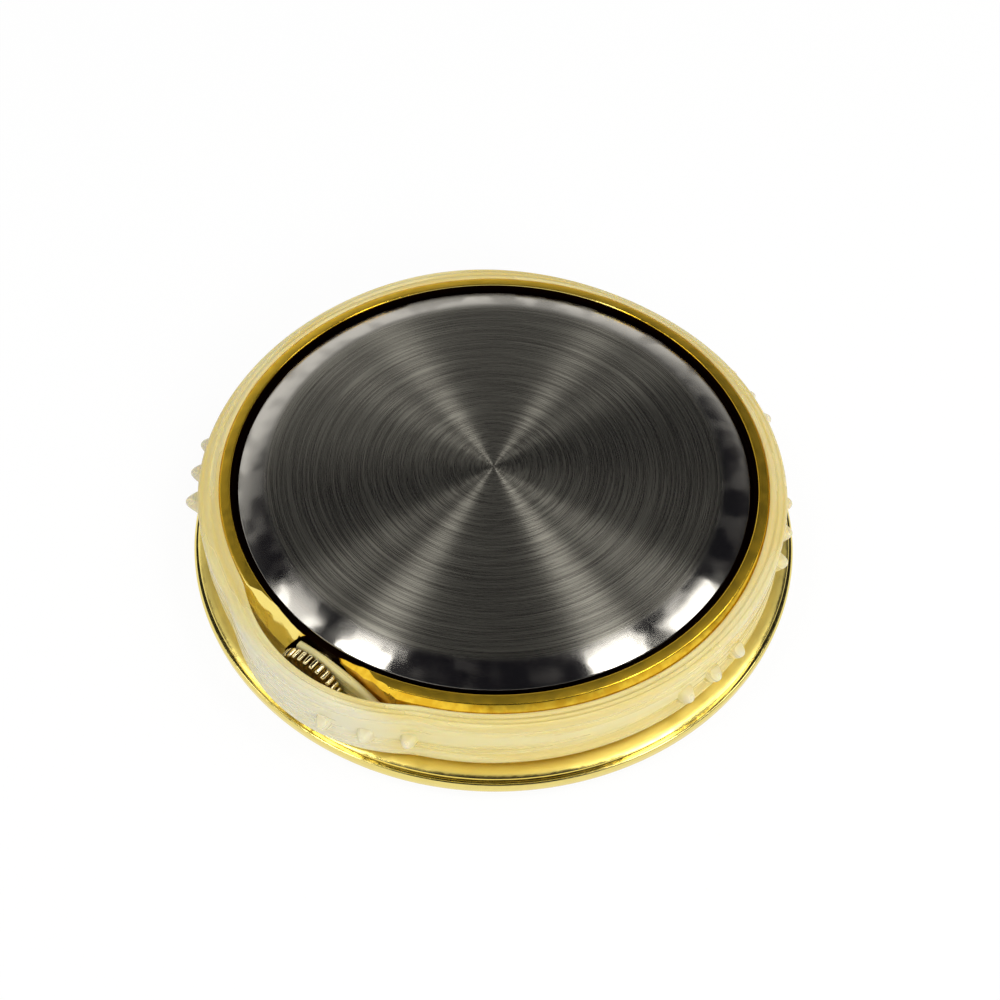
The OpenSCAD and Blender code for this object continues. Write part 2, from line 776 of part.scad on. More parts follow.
module coil_winding() {
    color("peru") along_rotor() translate([coil_reach, 0, core_z + core_t / 2]) difference() {
        rotate([90, 0, 0]) cylinder(r = coil_r, h = coil_l, center = true);
        cube([core_w + 2 * seat, coil_l + cut, core_t + 2 * seat], center = true);
    }
}

module circuit_board() {
    color("darkgreen") at_crown() rotate(board_dir - board_half) translate([0, 0, floor_z])
        rotate_extrude(angle = 2 * board_half)
            translate([board_in_r, 0]) square([board_out_r - board_in_r, board_t]);
}

module circuit_chip() {
    color("black") at_crown() rotate(board_dir)
        translate([board_in_r + 0.4, -chip_w / 2, floor_z + board_t]) cube([chip_w, chip_w, chip_t]);
}

module quartz_can() {
    place = board_out_r - can_r - 0.45;
    color("silver") at_crown() rotate(board_dir) translate([place, 0, floor_z + board_t + can_r])
        rotate([90, 0, 0]) cylinder(r = can_r, h = can_l, center = true);
}

module battery() {
    cap_h = 0.35;
    color("silver") at_crown() translate(concat(battery_at, battery_z)) {
        cylinder(r = battery_r - 0.55, h = cap_h);
        translate([0, 0, cap_h]) cylinder(r = battery_r, h = battery_t - cap_h);
    }
}

module battery_strap() {
    color("silver") at_crown() translate([0, 0, strap_z]) difference() {
        linear_extrude(strap_t) for (at = strap_pillars) strip(battery_at, at, strap_w);
        for (at = strap_pillars) translate(concat(at, -cut))
            cylinder(r = screw_r + seat, h = 2 * cut);
    }
}

// Negative contact: a thin blade under the battery, seated on the floor of its hole
module battery_contact() {
    color("silver") at_crown() translate(concat(battery_at, battery_z - 0.15)) linear_extrude(0.13)
        for (a = [0, 120, 240]) strip([0, 0], polar(battery_r - 0.9, a), 0.8);
}

// Setting works

module stem() {
    square_end = lever_pin_x - 0.35;
    groove_w = 2 * (lever_pin_r + groove_play);
    stem_end = crown_end - 0.2;
    gasket_groove = stem_gasket_w + 2 * seat;
    color("silver") at_crown() difference() {
        union() {
            on_stem(pilot_x) cylinder(r = pilot_r, h = square_x - pilot_x);
            on_stem(square_x) translate([-square_w / 2, -square_w / 2, 0])
                cube([square_w, square_w, square_end - square_x]);
            on_stem(square_end) cylinder(r = stem_r, h = stem_end - square_end);
        }
        on_stem(lever_pin_x - groove_w / 2) ring(stem_r + cut, lever_groove_r, groove_w);
        on_stem(stem_gasket_x - seat) ring(stem_r + cut, stem_gasket_in_r - seat, gasket_groove);
    }
}

// Outline of the knurl: a ridge with a flat top for each of its teeth
function knurl_outline() = [
    for (i = [0 : knurl_count - 1], s = [[knurl_depth, 0], [0, 0.35], [0, 0.65]])
        polar(crown_r - s[0], 360 / knurl_count * (i + s[1]))
];

module crown() {
    dome = 0.22;
    recess_r = tube_r + 0.15;
    recess_h = 0.25;
    color("gold") at_crown() on_stem(crown_x) difference() {
        intersection() {
            linear_extrude(crown_l) polygon(knurl_outline());
            union() {
                cylinder(r1 = crown_r - 0.12, r2 = crown_r, h = 0.12);
                translate([0, 0, 0.12]) cylinder(r = crown_r, h = crown_l - 0.12 - dome);
                translate([0, 0, crown_l - dome]) cylinder(r1 = crown_r, r2 = crown_r - 0.32, h = dome);
            }
        }
        translate([0, 0, -cut]) cylinder(r = recess_r, h = recess_h + cut);
        translate([0, 0, -cut]) cylinder(r = stem_r + seat, h = crown_l - 0.2 + seat + cut);
    }
}

module clutch_wheel() {
    tooth_depth = 0.2;
    bore_w = square_w + 2 * run;
    finger_room = 2 * (finger_r + groove_play);
    color("silver") at_crown() on_stem(clutch_x) difference() {
        cylinder(r = clutch_r, h = clutch_l);
        translate([0, 0, finger_x - clutch_x - finger_room / 2])
            ring(clutch_r + cut, clutch_groove_r, finger_room);
        translate([-bore_w / 2, -bore_w / 2, -cut]) cube([bore_w, bore_w, clutch_l + 2 * cut]);
        for (i = [0 : clutch_teeth - 1]) rotate(360 / clutch_teeth * i)
            translate([0.3, -0.11, -cut]) cube([clutch_r, 0.22, cut + tooth_depth]);
    }
}

// A lever: a flat arm from its pivot, with a pin that reaches down into a groove
module lever(pivot, pin, pin_r, pin_low, w, tail) {
    difference() {
        union() {
            translate([0, 0, lever_z]) linear_extrude(lever_t) {
                strip(pivot, pin, w);
                strip(pivot, pivot + tail, w);
                translate(pivot) circle(r = boss_r);
            }
            translate(concat(pin, pin_low)) cylinder(r = pin_r, h = lever_z + lever_t / 2 - pin_low);
        }
        translate(concat(pivot, lever_z - cut)) cylinder(r = pivot_r + run, h = lever_t + 2 * cut);
    }
}

module setting_lever() {
    pin = lever_pivot + polar(lever_arm, -90 - lever_swing / 2);
    color("silver") at_crown()
        lever(lever_pivot, pin, lever_pin_r, crown_z + lever_groove_r + 0.05, 0.7, [-1.2, 0.9]);
}

module yoke() {
    pin = yoke_pivot + polar(yoke_arm, 90 - yoke_swing / 2);
    color("silver") at_crown()
        lever(yoke_pivot, pin, finger_r, crown_z + clutch_groove_r + 0.05, 0.6, [-0.6, -1.6]);
}

// Plate over both levers, which keeps them on their pivots
module lever_spring() {
    color("silver") at_crown() translate([0, 0, spring_z]) difference() {
        linear_extrude(spring_t) {
            strip(lever_pivot, yoke_pivot, 1.3);
            strip(yoke_pivot, yoke_pivot + [1.9, 0.5], 0.5);
        }
        for (at = [lever_pivot, yoke_pivot]) translate(concat(at, -cut))
            cylinder(r = rivet_r + seat, h = 2 * cut);
    }
}

module crown_tube() {
    color("gold") at_crown() on_stem(tube_in_x) ring(tube_r, tube_bore_r, tube_out_x - tube_in_x);
}

module stem_gasket() {
    color("black") at_crown() on_stem(stem_gasket_x)
        ring(tube_bore_r - 0.01, stem_gasket_in_r, stem_gasket_w);
}

module screw() {
    cylinder(r = head_r, h = head_h);
    translate([0, 0, -screw_depth]) cylinder(r = screw_r, h = screw_depth);
}

module slotted_screw(at, z) {
    translate(concat(at, z)) difference() {
        screw();
        translate([-head_r, -0.06, head_h / 2]) cube([2 * head_r, 0.12, head_h]);
    }
}

module movement_screws() {
    color("silver") at_crown() {
        for (at = train_pillars) slotted_screw(at, bridge_top);
        for (at = strap_pillars) slotted_screw(at, strap_z + strap_t);
        for (at = coil_tabs()) slotted_screw(at, core_z + core_t);
    }
}

// Case back

module back_gasket() {
    gasket_h = back_z - groove_z;
    cord_r = gasket_h / 2 - 0.005;
    color("black") translate([0, 0, groove_z + gasket_h / 2]) rotate_extrude()
        translate([cavity_r + cord_r + 0.02, 0]) circle(r = cord_r, $fn = 24);
}

module case_back() {
    skirt_r = cavity_r - seat;
    bead = 0.06;
    color("dimgray") rotate_extrude() polygon([
        [0, back_top], [back_r - bevel_w, back_top], [back_r, back_top - bevel_h],
        [back_r, back_z], [skirt_r - bead, back_z], [skirt_r - bead, back_z - skirt_h * 0.6],
        [skirt_r, back_z - skirt_h * 0.75], [skirt_r - bead, back_z - skirt_h],
        [skirt_r - skirt_t, back_z - skirt_h], [skirt_r - skirt_t, back_z], [0, back_z]
    ]);
}

// Grip band

// Solid of revolution inside the band's outer wall, with its mould steps
module band_outside(r) {
    step = 0.07;
    low = land_z + seat;
    h = band_top - low;
    rotate_extrude() polygon([
        [0, low], [r - 0.05, low], [r + 0.03, low + 0.08], [r + 0.03, low + 0.16 * h],
        [r - step, low + 0.2 * h], [r - step, low + 0.3 * h], [r, low + 0.34 * h],
        [r, low + 0.62 * h], [r - step / 2, low + 0.65 * h], [r - step / 2, low + 0.7 * h],
        [r, low + 0.73 * h], [r, band_top - 0.2], [r - 0.06, band_top - 0.06],
        [r - 0.2, band_top], [0, band_top]
    ]);
}

// Everything inside the band: the case, and the slot for the crown beyond the web
module band_inside() {
    h = rim_z + cut;
    intersection() {
        cylinder(r = band_in_r, h = h);
        translate([-flange_r, -flange_r, 0]) cube([flange_r + web_x, 2 * flange_r, h]);
    }
    intersection() {
        translate([web_x + web_t, -flange_r, 0]) cube([flange_r, 2 * flange_r, h]);
        bulge_inside(h);
    }
    web_top();
    on_stem(flat_x - cut) cylinder(r = tube_r + air, h = web_t + 2 * cut);
}

module bulge_inside(h) {
    cylinder(r = band_in_r, h = h);
    translate([bulge_x, 0, 0]) cylinder(r = bulge_r, h = h);
}

// What is cut off above the web's arched top
module web_top() {
    arch_top = band_top - 0.25;
    intersection() {
        bulge_inside(rim_z + cut);
        translate([web_x - 0.05, -flange_r, 0]) difference() {
            cube([web_t + 0.1, 2 * flange_r, rim_z + cut]);
            translate([-cut, flange_r, arch_top - web_arch_r]) rotate([0, 90, 0])
                cylinder(r = web_arch_r, h = flange_r);
        }
    }
}

// One grip tooth: steep on the side it turns from, with a run-in slope at its top
module band_tooth() {
    root = -0.15;
    translate([band_r, 0, 0]) intersection() {
        linear_extrude(rim_z) polygon([
            [root, -0.4 * tooth_w], [0.75 * tooth_h, -0.35 * tooth_w], [tooth_h, -0.2 * tooth_w],
            [tooth_h, 0], [0.8 * tooth_h, 0.15 * tooth_w], [root, 0.6 * tooth_w]
        ]);
        rotate([90, 0, 0]) translate([0, 0, -tooth_w]) linear_extrude(2 * tooth_w) polygon([
            [root, tooth_z[0]], [0, tooth_z[0]], [tooth_h, tooth_z[1]], [tooth_h, tooth_z[2]],
            [0, tooth_z[3]], [root, tooth_z[3]]
        ]);
    }
}

module grip_band() {
    color("palegoldenrod") {
        at_crown() difference() {
            union() {
                band_outside(band_r);
                translate([bulge_x, 0, 0]) band_outside(bulge_r + band_t - 0.05);
            }
            band_inside();
        }
        at_crown() for (a = tooth_groups, i = [-1 : 1]) rotate(a + i * tooth_pitch) band_tooth();
    }
}

bezel();
crystal();
crystal_gasket();
case_body();
chapter_ring();
dial();
hour_markers();
hour_hand();
minute_hand();
seconds_hand();
movement_holder();
main_plate();
centre_bridge();
train_bridge();
centre_wheel();
third_wheel();
seconds_wheel();
intermediate_wheel();
rotor();
stator();
coil_core();
coil_winding();
circuit_board();
circuit_chip();
quartz_can();
battery();
battery_strap();
battery_contact();
hour_wheel();
minute_wheel();
setting_wheel();
stem();
crown();
clutch_wheel();
setting_lever();
yoke();
lever_spring();
crown_tube();
stem_gasket();
movement_screws();
back_gasket();
case_back();
grip_band();
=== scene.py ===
# %% [markdown]
# A clock insert, lying face down
#
# The object is a small quartz clock that is pushed into a round hole in a piece of wood. It lies on
# its gold bezel, so the camera sees the steel back, the gold case, the soft grip band and the crown.
# The construction comes ready made as a fixed frame: every piece is at its real size and place.
# This script gives each surface its finish, and builds again, with finer meshes, the pieces that
# the eye rests on. Everything is in metres, in the frame's own axes: +Z points up, to the back.

import math

import bmesh
import bpy
import mathutils
from mathutils import Matrix, Vector


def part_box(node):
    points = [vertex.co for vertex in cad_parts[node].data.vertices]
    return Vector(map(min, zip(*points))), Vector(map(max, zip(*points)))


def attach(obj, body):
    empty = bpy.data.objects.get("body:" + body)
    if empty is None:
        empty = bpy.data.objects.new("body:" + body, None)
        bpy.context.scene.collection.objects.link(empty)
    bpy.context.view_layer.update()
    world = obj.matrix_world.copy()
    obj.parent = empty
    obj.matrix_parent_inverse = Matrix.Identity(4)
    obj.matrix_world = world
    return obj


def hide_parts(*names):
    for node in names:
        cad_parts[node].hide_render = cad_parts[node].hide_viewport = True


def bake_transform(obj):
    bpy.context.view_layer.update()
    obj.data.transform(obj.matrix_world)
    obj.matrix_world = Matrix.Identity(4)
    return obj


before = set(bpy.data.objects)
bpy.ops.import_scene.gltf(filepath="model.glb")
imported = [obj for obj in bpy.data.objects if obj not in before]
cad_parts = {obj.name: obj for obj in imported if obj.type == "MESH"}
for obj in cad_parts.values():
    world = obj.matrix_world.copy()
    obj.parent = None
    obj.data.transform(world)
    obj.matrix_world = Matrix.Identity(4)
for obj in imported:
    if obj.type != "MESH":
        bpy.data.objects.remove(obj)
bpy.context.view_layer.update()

# %% [markdown]
# Sizes
#
# A piece that is rebuilt has to fit its neighbours, so its sizes are read from the frame where they
# can be. What the frame's boxes don't show, such as the width of a chamfer, is written here as a
# named value. All lengths below are in millimetres, and become metres when a mesh is made.

# %% Sizes taken from the frame
MM = 0.001


def top_of(node):
    """Height of a node's top, in mm."""
    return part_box(node)[1].z / MM


def low_of(node):
    """Height of a node's underside, in mm."""
    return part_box(node)[0].z / MM


def radius_of(node):
    """Radius of a round node that is centred on the origin, in mm."""
    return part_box(node)[1].x / MM


def polar(r, turn, z=0.0):
    """The point at a radius from the Z axis, an angle round it and a height."""
    return Vector((r * math.cos(turn), r * math.sin(turn), z))


crown_az = math.radians(232)
crown_dir = polar(1, crown_az)
to_crown = Matrix.Rotation(crown_az, 4, "Z")
back_r = radius_of("case_back")
back_top = top_of("case_back")
rim_z = top_of("case_body")
spigot_z = low_of("case_body")
bezel_r = radius_of("bezel")
bezel_h = top_of("bezel")
crown_low, crown_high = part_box("crown")
crown_r = (crown_high.z - crown_low.z) / 2 / MM
crown_z = (crown_high.z + crown_low.z) / 2 / MM
print(f"Back {back_r:.2f} mm, bezel {bezel_r:.2f} mm, rim at {rim_z:.2f} mm")
print(f"Crown {crown_r:.2f} mm, at {crown_z:.2f} mm")

# %% [markdown]
# A way to write node trees
#
# Node trees built socket by socket are hard to read. Here an output of a node is wrapped in a small
# class whose operators add Math nodes, so a mask can be written as 1 - radius / 5. All other nodes
# come from one method, add, which takes the type, the settings and the sockets. The same two
# classes serve the materials and the Geometry Nodes.


# %% Values and graphs
class Value:
    """An output of a node. Arithmetic on it adds the Math nodes that do the sum."""

    def __init__(self, graph, socket):
        self.graph = graph
        self.socket = socket

    def out(self, name):
        """Another output of the same node."""
        return Value(self.graph, self.socket.node.outputs[name])

    def __add__(self, other):
        return self.graph.math("ADD", self, other)

    def __sub__(self, other):
        return self.graph.math("SUBTRACT", self, other)

    def __rsub__(self, other):
        return self.graph.math("SUBTRACT", other, self)

    def __mul__(self, other):
        return self.graph.math("MULTIPLY", self, other)

    def __truediv__(self, other):
        return self.graph.math("DIVIDE", self, other)

    __radd__ = __add__


class Graph:
    """A node tree, and the ways of adding to it."""

    def __init__(self, tree):
        self.tree = tree

    def add(self, kind, settings=None, inputs=None):
        """Adds a node: its type, then its settings, then a value or a link for each socket."""
        node = self.tree.nodes.new(kind)
        for name, setting in (settings or {}).items():
            setattr(node, name, setting)
        for name, value in (inputs or {}).items():
            if isinstance(value, Value):
                self.tree.links.new(value.socket, node.inputs[name])
            else:
                node.inputs[name].default_value = value
        return Value(self, node.outputs[0]) if node.outputs else node

    def math(self, operation, *values):
        """A Math node on one, two or three values."""
        return self.add("ShaderNodeMath", {"operation": operation}, dict(enumerate(values)))

    def ease(self, value, low, high):
        """0 below low, 1 above high, and a smooth slope between them."""
        limits = {"Value": value, "From Min": low, "From Max": high}
        return self.add("ShaderNodeMapRange", {"interpolation_type": "SMOOTHSTEP"}, limits)

    def mix(self, share, first, second):
        """The first colour where share is 0, and the second where it is 1."""
        inputs = {"Factor": share, 6: first, 7: second}
        node = self.add("ShaderNodeMix", {"data_type": "RGBA"}, inputs)
        return Value(self, node.socket.node.outputs[2])


# %% [markdown]
# What every finish starts from
#
# A procedural finish needs to know where on the object a point is. Object coordinates don't move
# with the camera, and because each piece keeps its place in its mesh, they are also the frame's own
# coordinates. Turned pieces read them as a radius and an angle round an axis. An image could carry
# such a finish too, but it would blur close up and would need each mesh to be unwrapped.


# %% Places on the surface
def new_finish(name):
    """An empty material and the graph of its nodes."""
    material = bpy.data.materials.new(name)
    material.use_nodes = True
    material.node_tree.nodes.clear()
    return material, Graph(material.node_tree)


def place_mm(graph):
    """The point on the piece, as a vector in mm."""
    point = graph.add("ShaderNodeTexCoord").out("Object")
    return graph.add("ShaderNodeVectorMath", {"operation": "SCALE"}, {0: point, "Scale": 1 / MM})


def parts_of(graph, vector):
    """The three parts of a vector."""
    split = graph.add("ShaderNodeSeparateXYZ", inputs={0: vector})
    return split, split.out("Y"), split.out("Z")


def round_place(graph):
    """The point's x, y and z in mm, and its distance from the Z axis."""
    x, y, z = parts_of(graph, place_mm(graph))
    return x, y, z, graph.math("SQRT", x * x + y * y)


def facing_parts(graph):
    """The three parts of the direction in which the surface faces."""
    return parts_of(graph, graph.add("ShaderNodeNewGeometry").out("Normal"))


def joined(graph, x, y, z):
    """A vector from three values."""
    return graph.add("ShaderNodeCombineXYZ", inputs={"X": x, "Y": y, "Z": z})


def noise(graph, vector, scale, detail=2.0, roughness=0.5):
    """Smooth random values from about 0.3 to 0.7."""
    inputs = {"Vector": vector, "Scale": scale, "Detail": detail, "Roughness": roughness}
    return graph.add("ShaderNodeTexNoise", inputs=inputs)


def bump(graph, height, depth_mm, strength=1.0):
    """A normal that leans with the height, which runs from 0 to 1 over depth_mm."""
    inputs = {"Height": height, "Distance": depth_mm * MM, "Strength": strength}
    return graph.add("ShaderNodeBump", inputs=inputs)


def surface(graph, inputs):
    """The one shader of a finish, joined to its output."""
    shader = graph.add("ShaderNodeBsdfPrincipled", inputs=inputs)
    graph.add("ShaderNodeOutputMaterial", inputs={"Surface": shader})


# %% [markdown]
# The steel back
#
# The back is stamped from stainless steel and then spun against an abrasive pad, which leaves fine
# rings round its middle. Such rings spread light across themselves and hardly along themselves, so
# each lamp shows as a bright spoke. The same effect comes from an anisotropic shader. Its direction
# is set by the piece's middle when no other is given, and a quarter turn lays the spread across the
# rings. The rings themselves are noise that changes quickly with the radius and slowly with the
# angle. The roll at the edge is polished, with a few faint streaks and a slow unevenness.

# %% Spun and polished steel
plain_r = 13.45


def ring_noise(graph, fineness, slowness, detail):
    """Noise in arcs round the Z axis: fineness per mm of radius, slowness round the circle."""
    x, y, _, radius = round_place(graph)
    across = joined(graph, x / radius * slowness, y / radius * slowness, radius * fineness)
    return noise(graph, across, 1.0, detail, 0.6)


def spun_steel():
    """Spun steel within plain_r, and polished steel outside it."""
    material, graph = new_finish("back_steel")
    rings = ring_noise(graph, 12.0, 0.9, 3.0)
    scratches = ring_noise(graph, 34.0, 2.6, 2.0)
    streaks = ring_noise(graph, 0.5, 7.0, 1.0)
    plain = 1 - graph.ease(round_place(graph)[3], plain_r - 0.3, plain_r + 0.25)
    grain = graph.ease(rings * 0.5 + scratches * 0.5, 0.36, 0.66)
    smear = graph.ease(noise(graph, place_mm(graph), 0.35), 0.35, 0.65)
    dark = (0.215, 0.20, 0.168, 1)
    light = (0.45, 0.43, 0.36, 1)
    polished = (0.50, 0.475, 0.425, 1)
    brushed_edge = graph.ease(streaks, 0.42, 0.62)
    spun_colour = graph.mix(grain, dark, light)
    height = rings * plain * 0.4 + (streaks + smear * 0.8) * (1 - plain)
    surface(graph, {
        "Base Color": graph.mix(plain, polished, spun_colour),
        "Metallic": 1.0,
        "Roughness": 0.12 + brushed_edge * (1 - plain) * 0.12 + plain * (0.13 + grain * 0.06),
        "Anisotropic": 1.0,
        "Anisotropic Rotation": 0.25,
        "Normal": bump(graph, height, 0.016, 0.5),
    })
    return material


# %% [markdown]
# Gold plating
#
# The case and the bezel are plated brass. Bright plating mirrors its surroundings, so nearly all of
# its look comes from what it reflects and from how flat it is. A slow wave in the normal breaks the
# reflections up as on a real polished part, and a fine haze in the roughness keeps it from looking
# like a mirror. The rim of the case is satin, because it is turned and not polished. Low down, the
# bezel and the flange are painted paler, a painted reflection of the white floor and the pale band
# near them, and the facet to the left of the crown is painted pale as a painted highlight. The
# groove round the back is painted nearly black, as painted shade, since its two walls see only
# each other.


# %% Plated finishes
gold_colour = (0.95, 0.62, 0.05, 1)
deep_gold = (0.82, 0.47, 0.025, 1)
# The two pale golds are painted reflection: the colour that low parts and the left facet take for the
# white floor, the band and the lamps that they mirror.
case_reflection_gold = (0.95, 0.78, 0.23, 1)
bezel_reflection_gold = (0.80, 0.69, 0.25, 1)
# Painted shade: the groove's colour is nearly black for the shade between its walls.
groove_painted_shade = (0.014, 0.003, 0.001, 1)
groove_edge_r = 15.45
groove_edge_z = 6.06


def in_groove(graph):
    """1 in the groove round the back, where its shade is painted, and 0 on the rest of the case."""
    _, _, z, radius = round_place(graph)
    inside = 1 - graph.ease(radius, groove_edge_r, groove_edge_r + 0.02)
    return inside * (1 - graph.ease(z, groove_edge_z - 0.03, groove_edge_z + 0.01))


def on_left_facet(graph):
    """1 on the facet to the left of the crown, where a pale highlight is painted."""
    x, y, _ = parts_of(graph, place_mm(graph))
    facing_x, facing_y, _ = facing_parts(graph)
    toward_crown = facing_x * crown_dir.x + facing_y * crown_dir.y
    aside = y * crown_dir.x - x * crown_dir.y
    left = 1 - graph.ease(aside, -1.8, -1.2)
    return left * graph.ease(toward_crown, 0.35, 0.6)


def plated(name, wave_depth, rough, reflection_colour, satin=0.0, groove=False):
    """Gold plating with a wavy polish, painted paler low down as a painted reflection of the white
    near it. Satin adds roughness on faces that point straight up. Groove adds the case's painted
    shade, a nearly black groove, and its painted highlight, a pale facet left of the crown."""
    material, graph = new_finish(name)
    place = place_mm(graph)
    wave = noise(graph, place, 0.55, 3.0)
    haze = graph.ease(noise(graph, place, 1.6, 2.0, 0.5), 0.35, 0.65)
    flat = graph.ease(facing_parts(graph)[2], 0.9, 0.99)
    low_down = 1 - graph.ease(parts_of(graph, place)[2], 1.7, 2.6)
    # Painted reflection: below about two millimetres the gold is painted towards the pale colour.
    pale = low_down * 0.85
    dull = rough + haze * 0.05 + flat * (1 + low_down * 0.5) * satin
    colour = graph.mix(haze * (1 - flat * 0.7), gold_colour, deep_gold)
    if groove:
        # Painted shade in the groove, and a painted highlight on the facet left of the crown.
        shade = in_groove(graph)
        dull = dull + shade * 0.5
        colour = graph.mix(pale + on_left_facet(graph) * 0.9, colour, reflection_colour)
        colour = graph.mix(shade, colour, groove_painted_shade)
    else:
        colour = graph.mix(pale, colour, reflection_colour)
    surface(graph, {
        "Base Color": colour,
        "Metallic": 1.0,
        "Roughness": dull,
        "Normal": bump(graph, wave, wave_depth),
    })
    return material


def bronzed(name):
    """The crown: painted shade, dark, in its grooves and on its end, and painted highlights on its
    ridges.
    """
    material, graph = new_finish(name)
    x, y, z = parts_of(graph, place_mm(graph))
    aside = y * crown_dir.x - x * crown_dir.y
    height = z - crown_z
    radius = graph.math("SQRT", aside * aside + height * height)
    # Painted highlight near full radius, on the ridge tops; painted shade everywhere else on the crown.
    ridge_highlight = graph.ease(radius, crown_r - 0.1, crown_r - 0.03)
    mottle = graph.ease(noise(graph, place_mm(graph), 3.0, 4.0), 0.35, 0.65)
    colour = graph.mix(ridge_highlight, (0.075, 0.036, 0.006, 1), (0.98, 0.84, 0.46, 1))
    surface(graph, {
        "Base Color": graph.mix(mottle * 0.15, colour, deep_gold),
        "Metallic": 1.0,
        "Roughness": 0.3 - ridge_highlight * 0.14 + mottle * 0.06,
        "Normal": bump(graph, mottle, 0.004),
    })
    return material


# %% [markdown]
# Soft band
#
# The grip band is clear silicone with a little milkiness. Light goes through it, is blurred on the
# way and comes back from the gold behind it, which makes it look pale yellow: that yellow is painted
# into its colour, as a painted reflection of the gold. Where it stands away from the gold, at the bow
# and at the teeth, it is painted whiter. Part of the light is transmitted through a rough surface and
# the rest is scattered back as from a pale solid.


# %% Translucent finishes
milky = (0.92, 0.87, 0.63, 1)
band_bare_r = 17.2


def silicone(name, colour, cloudy, clear, glow):
    """Milky silicone, with flow marks that run round the ring and a fine uneven skin. Within the bare
    radius it takes the given colours, which for the band hold a painted reflection of the gold.
    """
    material, graph = new_finish(name)
    x, y, z, radius = round_place(graph)
    along = joined(graph, x / radius * 2.6, y / radius * 2.6, z * 1.9 + radius * 2.2)
    flow = noise(graph, along, 1.0, 1.0, 0.4)
    cloud = graph.ease(flow, 0.32, 0.68)
    skin = noise(graph, joined(graph, x * 0.35, y * 0.35, z * 0.9), 1.0, 2.0, 0.5)
    bare = graph.ease(radius, band_bare_r, band_bare_r + 0.7)
    # Painted reflection: over the gold the band takes the yellower colours, away from it the milky one.
    near_gold = graph.mix(cloud, cloudy, colour)
    surface(graph, {
        "Base Color": graph.mix(bare, near_gold, milky),
        "Roughness": 0.2 + cloud * 0.14,
        "IOR": 1.41,
        "Transmission Weight": clear,
        "Subsurface Weight": glow,
        "Subsurface Radius": (0.0012, 0.0010, 0.0005),
        "Normal": bump(graph, skin + flow * 0.4, 0.025, 0.6),
    })
    return material


def mineral_glass():
    """Clear glass with a trace of a smear on it."""
    material, graph = new_finish("crystal")
    smear = noise(graph, place_mm(graph), 0.6, 4.0)
    surface(graph, {
        "Base Color": graph.mix(smear, (1, 1, 1, 1), (0.96, 0.99, 0.98, 1)),
        "Roughness": graph.ease(smear, 0.5, 0.8) * 0.03,
        "IOR": 1.52,
        "Transmission Weight": 1.0,
    })
    return material


# %% [markdown]
# Pieces inside
#
# The pieces of the movement are seen when the insert is taken apart. Each family has the finish of
# its own making: turned steel has rings round its axis, stamped plates have a fine frosted grain,
# moulded plastic has a soft mottle, and lacquered wire has a dark copper gloss.


# %% Stamped, turned and moulded finishes
def metal(name, colour, dark, rough, grain_scale, grain_depth=0.004):
    """Metal with a fine isotropic grain between two shades."""
    material, graph = new_finish(name)
    place = place_mm(graph)
    grain = graph.ease(noise(graph, place, grain_scale, 5.0, 0.7), 0.36, 0.64)
    cast = graph.ease(noise(graph, place, 0.5), 0.35, 0.65)
    surface(graph, {
        "Base Color": graph.mix(grain * 0.6 + cast * 0.4, dark, colour),
        "Metallic": 1.0,
        "Roughness": rough + grain * 0.12,
        "Normal": bump(graph, grain, grain_depth),
    })
    return material


def turned(name, colour, dark, rough):
    """Metal turned on a lathe about the vertical axis through the origin."""
    material, graph = new_finish(name)
    rings = ring_noise(graph, 7.0, 0.8, 3.0)
    lines = graph.ease(rings, 0.38, 0.62)
    surface(graph, {
        "Base Color": graph.mix(lines, dark, colour),
        "Metallic": 1.0,
        "Roughness": rough + lines * 0.1,
        "Normal": bump(graph, rings, 0.006),
    })
    return material


def moulded(name, colour, dark, rough, scale=4.0, metallic=0.0):
    """Plastic, rubber, lacquer or paint with a soft mottle."""
    material, graph = new_finish(name)
    place = place_mm(graph)
    mottle = graph.ease(noise(graph, place, scale, 4.0, 0.6), 0.34, 0.66)
    skin = noise(graph, place, scale * 6, 3.0)
    surface(graph, {
        "Base Color": graph.mix(mottle, dark, colour),
        "Metallic": metallic,
        "Roughness": rough + mottle * 0.12,
        "Normal": bump(graph, skin, 0.006),
    })
    return material


# %% Table of finishes
def shades(red, green, blue, darker=0.8):
    """A colour and a darker shade of it."""
    light = (red, green, blue, 1)
    dark = (red * darker, green * darker, blue * darker, 1)
    return light, dark


